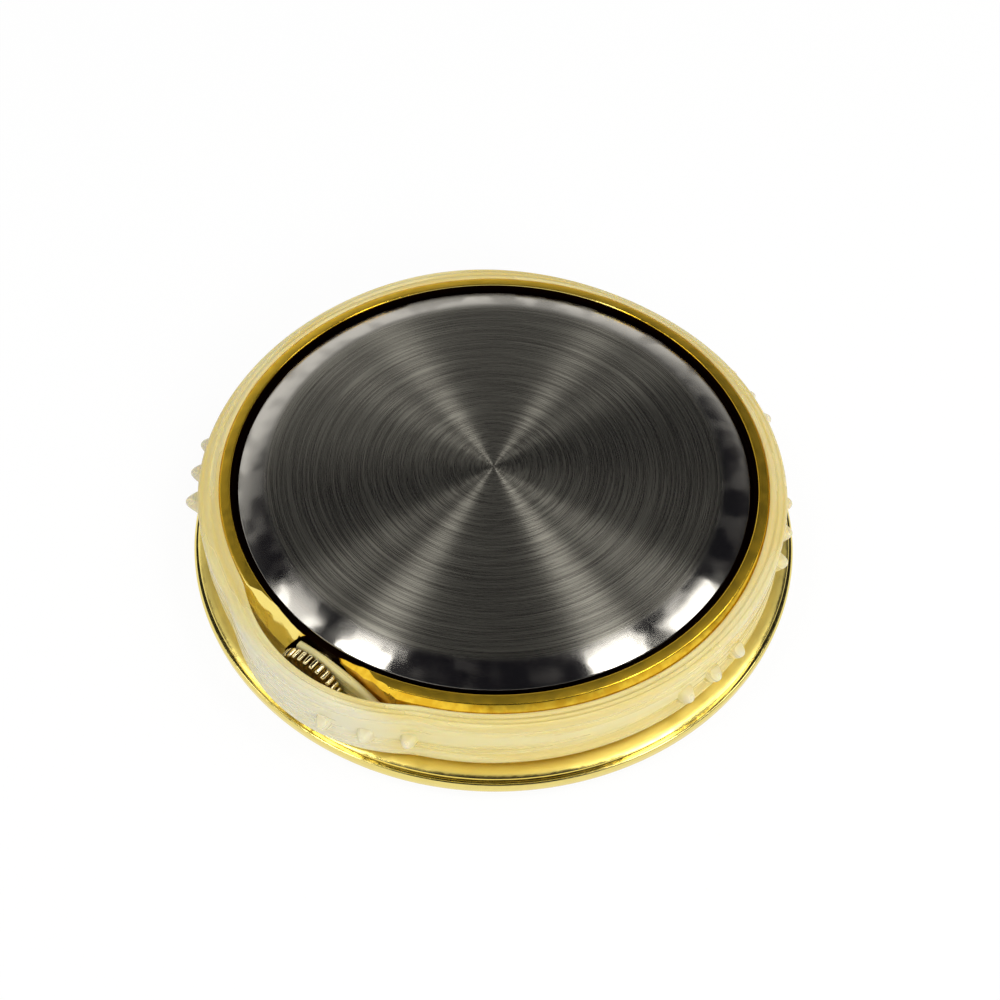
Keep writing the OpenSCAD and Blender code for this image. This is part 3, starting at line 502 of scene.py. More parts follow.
# The band's two creams hold a painted reflection of the gold behind it, on top of its own milky tone.
clear_gold_lit_cream = (0.93, 0.84, 0.44, 1)
cloudy_gold_lit_cream = (0.87, 0.73, 0.29, 1)
clear_white = (0.93, 0.93, 0.9, 1)
cloudy_white = (0.85, 0.85, 0.8, 1)
finishes = {
    "gold_bright": plated("gold_bright", 0.04, 0.14, bezel_reflection_gold),
    "gold_case": plated("gold_case", 0.04, 0.1, case_reflection_gold, satin=0.2, groove=True),
    "crown_gold": bronzed("crown_gold"),
    "back_steel": spun_steel(),
    "band_silicone": silicone("band_silicone", clear_gold_lit_cream, cloudy_gold_lit_cream, 0.35, 0.5),
    "gasket_clear": silicone("gasket_clear", clear_white, cloudy_white, 0.4, 0.0),
    "crystal": mineral_glass(),
    "gasket_black": moulded("gasket_black", *shades(0.018, 0.017, 0.016), 0.45),
    "dial_white": moulded("dial_white", *shades(0.86, 0.85, 0.82, 0.96), 0.32, 2.0),
    "hand_black": moulded("hand_black", *shades(0.012, 0.012, 0.013), 0.22, 8.0),
    "holder_plastic": moulded("holder_plastic", *shades(0.78, 0.78, 0.75, 0.92), 0.42),
    "plate_nickel": metal("plate_nickel", *shades(0.66, 0.64, 0.60), 0.3, 8.0),
    "wheel_brass": turned("wheel_brass", *shades(0.80, 0.58, 0.24), 0.24),
    "wheel_plastic": moulded("wheel_plastic", *shades(0.62, 0.60, 0.55, 0.9), 0.38),
    "rotor_black": moulded("rotor_black", *shades(0.03, 0.03, 0.034), 0.4, 9.0),
    "stator_iron": metal("stator_iron", *shades(0.52, 0.52, 0.53), 0.34, 10.0),
    "winding_enamel": moulded("winding_enamel", *shades(0.50, 0.17, 0.06), 0.22, 5.0, 0.7),
    "board_green": moulded("board_green", *shades(0.02, 0.16, 0.06, 0.6), 0.35, 2.5),
    "chip_black": moulded("chip_black", *shades(0.02, 0.02, 0.022), 0.5, 9.0),
    "can_nickel": metal("can_nickel", *shades(0.72, 0.71, 0.68), 0.2, 5.0),
    "cell_steel": turned("cell_steel", *shades(0.68, 0.68, 0.67), 0.26),
    "spring_steel": metal("spring_steel", *shades(0.58, 0.57, 0.55), 0.26, 7.0),
    "steel_turned": metal("steel_turned", *shades(0.60, 0.59, 0.57), 0.2, 9.0),
    "tube_brass": metal("tube_brass", *shades(0.80, 0.60, 0.26), 0.22, 9.0),
}
print("Finishes:", len(finishes))

# %% Finishes on the frame's own pieces
wearers = {
    "crystal": ["crystal"],
    "gasket_clear": ["crystal_gasket"],
    "gasket_black": ["stem_gasket", "back_gasket"],
    "gold_bright": ["chapter_ring"],
    "dial_white": ["dial"],
    "hand_black": ["hour_markers", "hour_hand", "minute_hand", "seconds_hand"],
    "holder_plastic": ["movement_holder"],
    "plate_nickel": ["main_plate", "centre_bridge", "train_bridge"],
    "wheel_brass": ["centre_wheel", "third_wheel", "seconds_wheel", "hour_wheel", "minute_wheel"],
    "wheel_plastic": ["intermediate_wheel"],
    "rotor_black": ["rotor"],
    "stator_iron": ["stator", "coil_core"],
    "board_green": ["circuit_board"],
    "chip_black": ["circuit_chip"],
    "can_nickel": ["quartz_can"],
    "cell_steel": ["battery"],
    "spring_steel": ["battery_strap", "battery_contact", "setting_lever", "yoke", "lever_spring"],
    "steel_turned": ["setting_wheel", "stem", "clutch_wheel", "movement_screws"],
    "tube_brass": ["crown_tube"],
}
for finish, nodes in wearers.items():
    for node in nodes:
        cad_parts[node].material_slots[0].material = finishes[finish]
print("Pieces of the frame that keep their mesh:", sum(len(nodes) for nodes in wearers.values()))

# %% [markdown]
# Turned pieces
#
# The case, the bezel and the back are turned on a lathe: each is one outline swept round the middle.
# The outline is a list of corners with a radius for each, because a real edge is never sharp, and it
# is the rounding that catches the light as a thin bright line. The outline is swept in mesh code,
# where a screw modifier would do for a plain ring but not for the band, whose outline changes as it
# goes round. The few shapes that aren't round are skins laid over a row of sections.


# %% Outlines with rounded corners
def rounded(corners, steps=5):
    """Outline through corners (r, z, rounding), with each corner cut by a small curve."""
    outline = []
    for i, (r, z, size) in enumerate(corners):
        corner = Vector((r, z))
        if not size:
            outline.append(corner)
            continue
        before = Vector(corners[i - 1][:2]) - corner
        after = Vector(corners[(i + 1) % len(corners)][:2]) - corner
        start = corner + before.normalized() * min(size, before.length * 0.45)
        end = corner + after.normalized() * min(size, after.length * 0.45)
        for k in range(steps + 1):
            t = k / steps
            outline.append(start * (1 - t) ** 2 + corner * 2 * t * (1 - t) + end * t * t)
    return outline


# %% Meshes from code
round_steps = 288


def shade_smooth(mesh, angle):
    """Smooth shading, with edges sharper than the angle kept sharp."""
    for face in mesh.polygons:
        face.use_smooth = True
    mesh.set_sharp_from_angle(angle=math.radians(angle))


def new_piece(name, fill, finish, angle=40):
    """An object from a function that fills a bmesh, with its finish and smooth shading."""
    mesh = bpy.data.meshes.new(name)
    edit = bmesh.new()
    fill(edit)
    edit.to_mesh(mesh)
    edit.free()
    piece = bpy.data.objects.new(name, mesh)
    bpy.context.scene.collection.objects.link(piece)
    mesh.materials.append(finishes[finish])
    shade_smooth(mesh, angle)
    return piece


def as_turned(r, z, turn):
    """The plain rule of a sweep: the outline is the same all the way round."""
    return r, z


def sweep_round(edit, outline, steps=round_steps, rule=as_turned):
    """Sweeps a closed outline of (r, z), in mm, round the Z axis. A point on the axis is one vertex.
    The rule may move the outline's points as it goes round: it gets (r, z, turn)."""
    rings = []
    for r, z in outline:
        if r < 1e-6:
            rings.append([edit.verts.new((0, 0, z * MM))] * steps)
            continue
        turns = [math.tau * i / steps for i in range(steps)]
        places = [(rule(r, z, turn), turn) for turn in turns]
        rings.append([edit.verts.new(polar(wide, turn, high) * MM) for (wide, high), turn in places])
    for k, ring in enumerate(rings):
        following = rings[(k + 1) % len(rings)]
        for i in range(steps):
            j = (i + 1) % steps
            corners = list(dict.fromkeys([ring[i], ring[j], following[j], following[i]]))
            if len(corners) > 2:
                edit.faces.new(corners)
    bmesh.ops.recalc_face_normals(edit, faces=edit.faces)


def turned_piece(name, outline, finish, steps=round_steps, rule=as_turned):
    """A piece swept from its outline."""
    return new_piece(name, lambda edit: sweep_round(edit, outline, steps, rule), finish)


def loft(edit, sections, close_start=True):
    """Lays a skin over closed sections that have the same number of points, in mm."""
    rings = [[edit.verts.new(Vector(point) * MM) for point in section] for section in sections]
    count = len(rings[0])
    for near, far in zip(rings, rings[1:]):
        for k in range(count):
            n = (k + 1) % count
            edit.faces.new([near[k], near[n], far[n], far[k]])
    if close_start:
        edit.faces.new(rings[0])
    edit.faces.new(rings[-1])
    bmesh.ops.recalc_face_normals(edit, faces=edit.faces)


# %% Pieces made with modifiers
def made_mesh(thing):
    """A new mesh of what an object's modifiers, or its letters, come to."""
    bpy.context.view_layer.update()
    depsgraph = bpy.context.evaluated_depsgraph_get()
    return bpy.data.meshes.new_from_object(thing.evaluated_get(depsgraph))


def keep_result(piece, angle):
    """Puts what the modifiers make of a piece in the place of its mesh."""
    made = made_mesh(piece)
    piece.modifiers.clear()
    piece.data = made
    made.name = piece.name
    shade_smooth(made, angle)


def combined(piece, other, operation, angle=40):
    """Joins a second piece to the first, or cuts it away, and removes the second."""
    modifier = piece.modifiers.new("combine", "BOOLEAN")
    modifier.operation = operation
    modifier.solver = "EXACT"
    modifier.object = other
    keep_result(piece, angle)
    bpy.data.objects.remove(other)


def stands_for(piece, body, node):
    """The piece rides on the body and hides the node."""
    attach(piece, body)
    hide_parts(node)
    print(f"{piece.name}: {len(piece.data.polygons)} faces in place of {node}")


# %% [markdown]
# Trees that make meshes
#
# What repeats, or is swept along a line, is made by Geometry Nodes: teeth, ridges, wire and ticks. The
# trees are written with the same Graph as the materials. Their sizes are named inputs, so one tree
# serves several pieces, and the result is kept as a plain mesh, which every other program can read.


# %% Geometry Nodes from code
def new_tree(name, sockets):
    """A Geometry Nodes tree with named inputs. Returns the tree, its graph and its input node."""
    tree = bpy.data.node_groups.new(name, "GeometryNodeTree")
    tree.interface.new_socket("Geometry", in_out="OUTPUT", socket_type="NodeSocketGeometry")
    for socket_name, kind in sockets:
        tree.interface.new_socket(socket_name, in_out="INPUT", socket_type="NodeSocket" + kind)
    graph = Graph(tree)
    return tree, graph, graph.add("NodeGroupInput")


def run_tree(piece, tree, values, angle=40):
    """Runs a tree on the piece with values for its inputs, and keeps the result as a plain mesh."""
    modifier = piece.modifiers.new(tree.name, "NODES")
    modifier.node_group = tree
    for socket in tree.interface.items_tree:
        if socket.in_out == "INPUT" and socket.name in values:
            modifier[socket.identifier] = values[socket.name]
    keep_result(piece, angle)


def finish_tree(graph, geometry, given):
    """The end of each tree: instances made real, the material set, and the result handed out."""
    real = graph.add("GeometryNodeRealizeInstances", inputs={"Geometry": geometry})
    material = given.out("Material")
    dressed = graph.add("GeometryNodeSetMaterial", inputs={"Geometry": real, "Material": material})
    graph.add("NodeGroupOutput", inputs={"Geometry": dressed})


def outward_tree(name):
    """Sets a shape on each point, turned to face away from the Z axis."""
    sockets = [("Geometry", "Geometry"), ("Shape", "Object"), ("Material", "Material")]
    tree, graph, given = new_tree(name, sockets)
    x, y, _ = parts_of(graph, graph.add("GeometryNodeInputPosition"))
    turn = joined(graph, 0.0, 0.0, graph.math("ARCTAN2", y, x))
    facing = graph.add("FunctionNodeEulerToRotation", inputs={0: turn})
    shape = graph.add("GeometryNodeObjectInfo", inputs={"Object": given.out("Shape")})
    points = graph.add("GeometryNodeMeshToPoints", inputs={"Mesh": given.out("Geometry")})
    placed = graph.add("GeometryNodeInstanceOnPoints", inputs={
        "Points": points,
        "Instance": shape.out("Geometry"),
        "Rotation": facing,
    })
    finish_tree(graph, placed, given)
    return tree


def set_round(name, shape, places, finish):
    """A piece that has the shape on each of its places, facing away from the Z axis."""
    one = new_piece("one_" + name, shape, finish)
    piece = new_piece(name, places, finish)
    run_tree(piece, outward_tree(name + "_set_round"), {"Shape": one, "Material": finishes[finish]})
    bpy.data.objects.remove(one)
    return piece


# %% Steel back
skirt_r = 14.48
skirt_waist_r = skirt_r - 0.06
skirt_in_r = 14.03
back_low = 5.65
skirt_low = low_of("case_back")
roll_start = 12.9
roll_low = 5.80
roll_end = back_r - 0.09


def dished(r):
    """Height of the back's face: flat in the middle, and rolling off to the rim in one curve."""
    share = max(0.0, (r - roll_start) / (back_r - roll_start))
    return back_top - (back_top - roll_low) * share ** 1.75


def back_outline():
    """The flat disc, the roll, the edge and the skirt, from the middle outwards and back in."""
    steps = 18
    flat = [(r, back_top) for r in (0, 3, 6, 9, 11, 12.4)]
    roll = [roll_start + (roll_end - roll_start) * i / steps for i in range(steps + 1)]
    edge = rounded([
        (roll_end, dished(roll_end), 0),
        (back_r, dished(back_r - 0.01), 0.09),
        (back_r, back_low, 0.05),
        (skirt_waist_r, back_low, 0),
        (skirt_waist_r, back_low - 0.42, 0.05),
        (skirt_r, back_low - 0.52, 0.05),
        (skirt_waist_r, skirt_low, 0.05),
        (skirt_in_r, skirt_low, 0.05),
        (skirt_in_r, back_low, 0),
        (0, back_low, 0),
    ])
    return flat + [(r, dished(r)) for r in roll] + [tuple(p) for p in edge[1:]]


back = turned_piece("steel_back", back_outline(), "back_steel")
stands_for(back, "case", "case_back")

# %% [markdown]
# Case and bezel
#
# The case is turned from brass. Its rim has a chamfer outside and a deep groove inside, in which the
# back sits. At the crown a flat, a sloping facet and a round pocket are cut into it. The facet's
# cutter has an uneven skin, because the real facet is pressed and plated, not milled, and it is the
# unevenness that gives it its crumpled glints. Each cut is a boolean with a closed cutter. The
# round cuts come first, because the solver is surest while the case is still all rings.

# %% Gold case
case_r = 16.4
rim_chamfer = 0.38
groove_r = 15.44
groove_z = 5.30
cavity_r = 14.5
ledge_r = 14.05
ledge_z = 1.4
chapter_z = 1.7
pocket_r = 15.89
spigot_r = 16.54
flange_r = 17.95
land_z = 1.6

case_corners = [
    (ledge_r, ledge_z, 0.03),
    (pocket_r, ledge_z, 0),
    (pocket_r, spigot_z, 0.03),
    (spigot_r, spigot_z, 0.05),
    (spigot_r, bezel_h, 0),
    (flange_r, bezel_h, 0.02),
    (flange_r, land_z - 0.16, 0.04),
    (flange_r - 0.3, land_z - 0.05, 0.3),
    (case_r, land_z, 0.06),
    (case_r, rim_z - rim_chamfer, 0.06),
    (case_r - rim_chamfer, rim_z - 0.05, 0.05),
    (groove_r, rim_z, 0.08),
    (groove_r, groove_z, 0.03),
    (cavity_r, groove_z, 0.03),
    (cavity_r, chapter_z, 0),
    (ledge_r, chapter_z, 0.03),
]
case = turned_piece("gold_case", rounded(case_corners), "gold_case")


# %% Pocket for the crown
pocket_floor_x = 15.2
pocket_room = crown_r + 0.1
tube_bore_r = 0.82
flat_x = 15.55
flat_low_z = land_z + 0.01
flat_from_y = -1.6
flat_unevenness = 0.03
facet_x = 15.1
facet_low_z = 4.2
facet_tilt = math.radians(45)
facet_yaw = math.radians(-2.3)
facet_unevenness = 0.14


def slab_cutter(edit, corner_x, low_z, tilt, unevenness, from_y=-9.0):
    """Everything beyond a plane across the crown's axis. The plane crosses the rim's height at
    corner_x, leans back by the tilt, and reaches from above the rim down to low_z."""
    rows, columns = 16, 72
    high_z = rim_z + 1.0
    to_y = 9.0
    sections = []
    for row in range(rows + 1):
        z = high_z + (low_z - high_z) * row / rows
        x = corner_x + (rim_z - z) * math.tan(tilt)
        section = []
        for column in range(columns + 1):
            point = Vector((x, from_y + (to_y - from_y) * column / columns, z))
            push = mathutils.noise.noise(point * 1.3) + 0.4 * mathutils.noise.noise(point * 4.0)
            section.append(point + Vector((push * unevenness, 0, 0)))
        sections.append(section + [(x + 4, to_y, z), (x + 4, from_y, z)])
    loft(edit, sections)


def bore_cutter(edit, start_x, radius, length):
    """A round cutter along the crown's axis."""
    middle = Matrix.Translation(Vector((start_x + length / 2, 0, crown_z)) * MM)
    bmesh.ops.create_cone(edit, cap_ends=True, segments=72, radius1=radius * MM, radius2=radius * MM,
                          depth=length * MM, matrix=middle @ Matrix.Rotation(math.pi / 2, 4, "Y"))


def at_crown(piece, yaw=0.0):
    """Turns a piece that is drawn with the crown along +X to the crown's real place."""
    piece.data.transform(to_crown @ Matrix.Rotation(yaw, 4, "Z"))
    return piece


def cut_case(cutter, *sizes, yaw=0.0):
    """Cuts a shape out of the case: a cutter's function and the sizes that it asks for."""
    tool = new_piece("cutter", lambda edit: cutter(edit, *sizes), "gold_case")
    combined(case, at_crown(tool, yaw), "DIFFERENCE", 30)


cut_case(bore_cutter, pocket_floor_x, pocket_room, 4)
cut_case(bore_cutter, cavity_r - 0.5, tube_bore_r, 3)
cut_case(slab_cutter, flat_x, flat_low_z, 0, flat_unevenness, flat_from_y)
cut_case(slab_cutter, facet_x, facet_low_z, facet_tilt, facet_unevenness, yaw=facet_yaw)
stands_for(case, "case", "case_body")

# %% Bezel
lip_r = 14.9
shoulder_w = 0.95
shoulder_h = 0.75
front_r = bezel_r - shoulder_w
crystal_z = low_of("crystal")
shoulder_turns = [math.pi / 2 * k / 12 for k in range(13)]
shoulder = [
    (front_r + shoulder_w * math.sin(turn), shoulder_h * (1 - math.cos(turn)), 0)
    for turn in shoulder_turns
]
bezel_corners = [
    (lip_r, crystal_z, 0),
    (lip_r, 0.28, 0.08),
    (front_r - 0.4, 0, 0.2),
    *shoulder,
    (bezel_r, bezel_h - 0.12, 0.06),
    (bezel_r - 0.12, bezel_h, 0.06),
    (spigot_r + 0.02, bezel_h, 0),
    (spigot_r + 0.02, crystal_z, 0),
]
bezel = turned_piece("bezel_ring", rounded(bezel_corners), "gold_bright")
stands_for(bezel, "case", "bezel")

# %% [markdown]
# Grip band
#
# The band is a soft ring stretched over the case. It isn't quite round: it rides up over the case's
# chamfer at the far side, sags between, and bows out round the crown. The ring is one outline with
# moulded steps, swept round the case by a rule that holds all of these. A web closes the bow behind
# the crown.

# %% Rule of the band
ring_in_r = 16.45
ring_out_r = 17.2
bow_x = 7.4
bow_in_r = 10.0
bow_out_r = 10.72
climb = 0.26
lean_in = 0.36
top_waves = [(-0.30, 50, 26), (0.20, 101, 22), (0.10, 182, 24), (0.05, 330, 20), (-0.08, 5, 18)]
wall_waves = [(0.17, 185, 22), (0.1, 204, 10), (0.04, 95, 30)]


def degrees_from(turn, centre):
    """Angle from a centre, in degrees between -180 and 180."""
    return (math.degrees(turn) - centre + 180) % 360 - 180


def swell(turn, centre, width):
    """A smooth hump of height 1, with its centre and width in degrees round the ring."""
    return math.exp(-((degrees_from(turn, centre) / width) ** 2))


def waves_at(turn, waves):
    """Sum of smooth humps, each given as its height in mm, its centre and its width."""
    return sum(height * swell(turn, centre, width) for height, centre, width in waves)


def ease(value, low, high):
    """0 below low, 1 above high, and a smooth slope between them."""
    share = min(1.0, max(0.0, (value - low) / (high - low)))
    return share * share * (3 - 2 * share)


def wall_at(turn, ring, bow):
    """Distance from the middle to the wall: the ring's radius, or the bow's where that is further."""
    away = turn - crown_az
    inside = bow ** 2 - (bow_x * math.sin(away)) ** 2
    if inside <= 0 or math.cos(away) < 0:
        return ring
    to_bow = bow_x * math.cos(away) + math.sqrt(inside)
    blend = 0.07
    return max(ring, to_bow) + blend * math.log1p(math.exp(-abs(ring - to_bow) / blend))


def band_rule(r, z, turn):
    """Where a point of the band's outline goes at an angle round the ring."""
    share = (r - ring_in_r) / (ring_out_r - ring_in_r)
    over_chamfer = ease(abs(degrees_from(turn, 275)), 25, 80)
    height = z + waves_at(turn, top_waves) * ease(z, 3.4, 5.5) * (share if over_chamfer > 0 else 1)
    height += over_chamfer * (climb * (1 - share)) * ease(z, 5.2, 5.8)
    height += 0.2 * swell(turn, 285, 30) * (1 - ease(z, 1.8, 2.6))
    inner = wall_at(turn, ring_in_r, bow_in_r)
    outer = wall_at(turn, ring_out_r, bow_out_r) + waves_at(turn, wall_waves) * ease(z, 1.6, 3.5)
    lean = over_chamfer * ease(z, 5.6, 5.82) * lean_in * (1 - share)
    return inner + share * (outer - inner) - lean, height


# %% Ring of the band
band_corners = [
    (ring_in_r, 1.65, 0.08),
    (17.05, 1.65, 0.06),
    (17.24, 1.78, 0.12),
    (17.24, 2.30, 0.10),
    (17.13, 2.46, 0.08),
    (17.13, 2.82, 0.05),
    (17.10, 2.88, 0.03),
    (17.13, 2.94, 0.05),
    (17.13, 3.25, 0.08),
    (17.20, 3.42, 0.12),
    (17.20, 4.72, 0.10),
    (17.16, 4.85, 0.06),
    (17.16, 4.97, 0.06),
    (17.20, 5.10, 0.10),
    (17.20, 5.62, 0.15),
    (17.08, 5.80, 0.08),
    (16.97, 5.73, 0.05),
    (16.84, 5.86, 0.06),
    (16.70, 5.74, 0.05),
    (16.58, 5.90, 0.07),
    (ring_in_r, 5.86, 0.05),
]
band_steps = 540
band = turned_piece("soft_band", rounded(band_corners, 4), "band_silicone", band_steps, band_rule)

# %% Web behind the crown
web_x = 15.62
web_t = 0.46
web_low = 1.7
web_top = 5.6
web_arch_r = 9.0
web_from_y = -1.35
web_to_y = 4.6
stem_slot_r = 0.9


def web(edit):
    """The web, from station to station across the crown's axis."""
    sections = []
    stations = 40
    for i in range(stations + 1):
        y = web_from_y + (web_to_y - web_from_y) * i / stations
        top = web_top - web_arch_r + math.sqrt(web_arch_r ** 2 - y ** 2)
        section = [
            (0, web_low), (web_t, web_low), (web_t, top - 0.15), (web_t - 0.04, top - 0.05),
            (web_t - 0.15, top), (0.15, top), (0.04, top - 0.05), (0, top - 0.15),
        ]
        sections.append([(web_x + x, y, z) for x, z in section])
    loft(edit, sections)


def stem_slot(edit):
    """The hole through which the stem and its tube pass."""
    bore_cutter(edit, web_x - 0.42, stem_slot_r, 1.2)


combined(band, at_crown(new_piece("web", web, "band_silicone")), "UNION")
combined(band, at_crown(new_piece("stem_slot", stem_slot, "band_silicone")), "DIFFERENCE")

# %% [markdown]
# Grip teeth
#
# The teeth are what holds the insert in the wood: small blunt fins in groups of three, which bend
# as it is pushed in. They are moulded with the band, and are fullest above the middle of its wall.
# One fin is drawn, and Geometry Nodes set it on every place round the ring, since the fins differ
# only in their place. Each group has its own pitch and stands or is pressed in by its own amount.

# %% One grip tooth
tooth_reach = 1.0
tooth_half = 0.60
tooth_root = -0.35
tooth_low = 2.35
tooth_full = 3.55
tooth_top = 4.06


def reach_at(z):
    """Share of the tooth's reach at a height: it rises to tooth_full and rounds off to the top."""
    if z < tooth_full:
        return math.sin(math.pi / 2 * (z - tooth_low) / (tooth_full - tooth_low)) ** 1.3
    return math.sqrt(max(0.0, 1 - ((z - tooth_full) / (tooth_top - tooth_full)) ** 2))


def tooth(edit):
    """A small rounded fin whose root is sunk into the wall. In plan it is a blunt hump that gets
    less from level to level, as reach_at says."""
    across = 18
    levels = 22
    sections = []
    for step in range(levels + 1):
        z = tooth_low + (tooth_top - tooth_low) * math.sin(math.pi / 2 * step / levels)
        section = []
        for k in range(across + 1):
            u = 2 * k / across - 1
            hump = (1 - abs(u) ** 2.4) ** 1.2
            section.append((tooth_reach * reach_at(z) * hump, tooth_half * u, z))
        sections.append(section + [(tooth_root, tooth_half, z), (tooth_root, -tooth_half, z)])
    loft(edit, sections)


# %% Teeth round the band
tooth_bite = 0.03
tooth_groups = [
    (24.1, 6.6, 0.5, 0.0),
    (62, 6.9, -0.3, 0.3),
    (101, 6.9, -0.3, 0.3),
    (139, 6.9, -0.3, 0.3),
    (175, 7.1, 0.5, 0.0),
    (246, 7.6, 0.0, 0.4),
    (313, 6.9, 0.0, 0.3),
    (348.8, 7.2, 0.4, 0.4),
]


def tooth_places(edit):
    """One vertex for each tooth: groups of (angle, pitch, lift, how far it is pressed in)."""
    for middle, pitch, lift, pressed in tooth_groups:
        for step in (-1, 0, 1):
            turn = math.radians(middle + step * pitch)
            wall = wall_at(turn, ring_out_r, bow_out_r) + waves_at(turn, wall_waves)
            edit.verts.new(polar(wall - pressed - tooth_bite, turn, lift) * MM)


combined(band, set_round("teeth", tooth, tooth_places, "band_silicone"), "UNION", 50)
print(f"{band.name}: {len(band.data.polygons)} faces, with {3 * len(tooth_groups)} teeth")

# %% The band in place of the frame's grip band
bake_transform(band)
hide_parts("grip_band")

# %% [markdown]
# Crown
#
# The crown is a low knob with thirty ridges, which a fingernail turns and pulls. Its outline, from
# the middle of its face round to its bore, is a short chain of points with a radius stored on each.
# Geometry Nodes sweep a circle along the chain and then press valleys between the ridges where the
# surface is near its full radius. Pressing them in keeps each ridge rounded at both of its ends, as
# a rolled knurl is, where cut grooves would leave sharp ones.

# %% Outline of the crown
crown_x = 16.2
crown_l = 0.85
ridge_count = 30
ridge_depth = 0.17
crown_corners = [
    (crown_l, 0, 0),
    (crown_l, 1.45, 0.1),
    (crown_l - 0.05, 1.72, 0.1),
    (crown_l - 0.14, crown_r - 0.06, 0.08),
    (crown_l - 0.24, crown_r, 0.05),
    (0.14, crown_r, 0.05),
    (0.05, crown_r - 0.05, 0.05),
    (0, crown_r - 0.16, 0.05),
    (0, 0.95, 0.04),
    (0.25, 0.95, 0),
    (0.25, 0.47, 0.03),
    (0.67, 0.47, 0),
    (0.67, 0, 0),
]


def crown_chain(edit):
    """Points along the crown's axis, joined in a chain, each with the radius it has there."""
    radius = edit.verts.layers.float.new("reach")
    outline = rounded(crown_corners[1:-1], 4)
    before = None
    for x, r in [crown_corners[0][:2], *outline, crown_corners[-1][:2]]:
        vertex = edit.verts.new(Vector((crown_x + x, 0, crown_z)) * MM)
        vertex[radius] = max(r, 0.001) * MM
        if before:
            edit.edges.new((before, vertex))
        before = vertex


# %% Knurl of the crown
def crown_tree():
    """Sweeps a circle along the chain, by the radius stored on it, and presses valleys into it."""
    sizes = ["Depth", "Full radius", "Axis height"]
    sockets = [("Geometry", "Geometry"), ("Ridges", "Int"), ("Material", "Material")]
    tree, graph, given = new_tree("knurled_knob", sockets + [(name, "Float") for name in sizes])
    chain = graph.add("GeometryNodeMeshToCurve", inputs={"Mesh": given.out("Geometry")})
    radius = graph.add("GeometryNodeInputNamedAttribute", inputs={"Name": "reach"})
    around = graph.add("GeometryNodeCurvePrimitiveCircle", inputs={"Resolution": 360, "Radius": 1.0})
    skin = graph.add("GeometryNodeCurveToMesh", inputs={
        "Curve": chain,
        "Profile Curve": around,
        "Scale": radius,
    })
    closed = graph.add("GeometryNodeMergeByDistance", inputs={"Geometry": skin, "Distance": 0.00001})
    x, y, z = parts_of(graph, graph.add("GeometryNodeInputPosition"))
    height = z - given.out("Axis height")
    reach_now = graph.math("SQRT", y * y + height * height)
    turn = graph.math("ARCTAN2", height, y)
    wave = graph.math("COSINE", turn * given.out("Ridges")) * 0.5 + 0.5
    valley = graph.ease(wave, 0.35, 0.95)
    near_rim = graph.ease(reach_now / given.out("Full radius"), 0.84, 0.93)
    shrink = 1 - valley * near_rim * given.out("Depth") / given.out("Full radius")
    pressed = joined(graph, x, y * shrink, height * shrink + given.out("Axis height"))
    knurled = graph.add("GeometryNodeSetPosition", inputs={"Geometry": closed, "Position": pressed})
    finish_tree(graph, knurled, given)
    return tree


crown = new_piece("knurled_crown", crown_chain, "crown_gold")
run_tree(crown, crown_tree(), {
    "Ridges": ridge_count,
    "Depth": ridge_depth * MM,
    "Full radius": crown_r * MM,
    "Axis height": crown_z * MM,
    "Material": finishes["crown_gold"],
}, 50)
stands_for(at_crown(crown), "crown", "crown")

# %% [markdown]
# Coil winding
#
# The coil is some thousands of turns of lacquered copper wire, thinner than a hair, laid side by
# side on the iron core. The outermost layer is drawn here with thicker wire and fewer turns, so that
# its ridges show at the scale of the movement. Geometry Nodes draw the wire as one helix round a
# plain tube, which stands for the layers below it and leaves room for the core.

# %% Coil of lacquered wire
wire_turns = 76
coil_low, coil_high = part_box("coil_winding")
coil_middle = (coil_low + coil_high) / 2
coil_r = (coil_high.z - coil_low.z) / 2 / MM
coil_l = 7.6
coil_az = math.radians(187)
core_room_r = 0.3
wire_r = coil_l / wire_turns / 2
print(f"Coil {coil_r:.2f} mm in radius, wire {2 * wire_r:.2f} mm thick")


def helix_tree():
    """Adds a wire that winds round the Z axis, half of it on each side of the origin."""
    sizes = ["Radius", "Length", "Wire radius"]
    sockets = [("Geometry", "Geometry"), ("Turns", "Float"), ("Material", "Material")]
    tree, graph, given = new_tree("wound_wire", sockets + [(name, "Float") for name in sizes])
    radius = given.out("Radius")
    length = given.out("Length")
    helix = graph.add("GeometryNodeCurveSpiral", inputs={
        "Resolution": 20,
        "Rotations": given.out("Turns"),
        "Start Radius": radius,
        "End Radius": radius,
        "Height": length,
    })
    profile = graph.add("GeometryNodeCurvePrimitiveCircle", inputs={
        "Resolution": 8,
        "Radius": given.out("Wire radius"),
    })
    wire = graph.add("GeometryNodeCurveToMesh", inputs={
        "Curve": helix,
        "Profile Curve": profile,
        "Fill Caps": True,
    })
    centred = graph.add("GeometryNodeTransform", inputs={
        "Geometry": wire,
        "Translation": joined(graph, 0.0, 0.0, length * -0.5),
    })
    both = graph.add("GeometryNodeJoinGeometry", inputs={"Geometry": centred})
    graph.tree.links.new(given.out("Geometry").socket, both.socket.node.inputs["Geometry"])
    finish_tree(graph, both, given)
    return tree


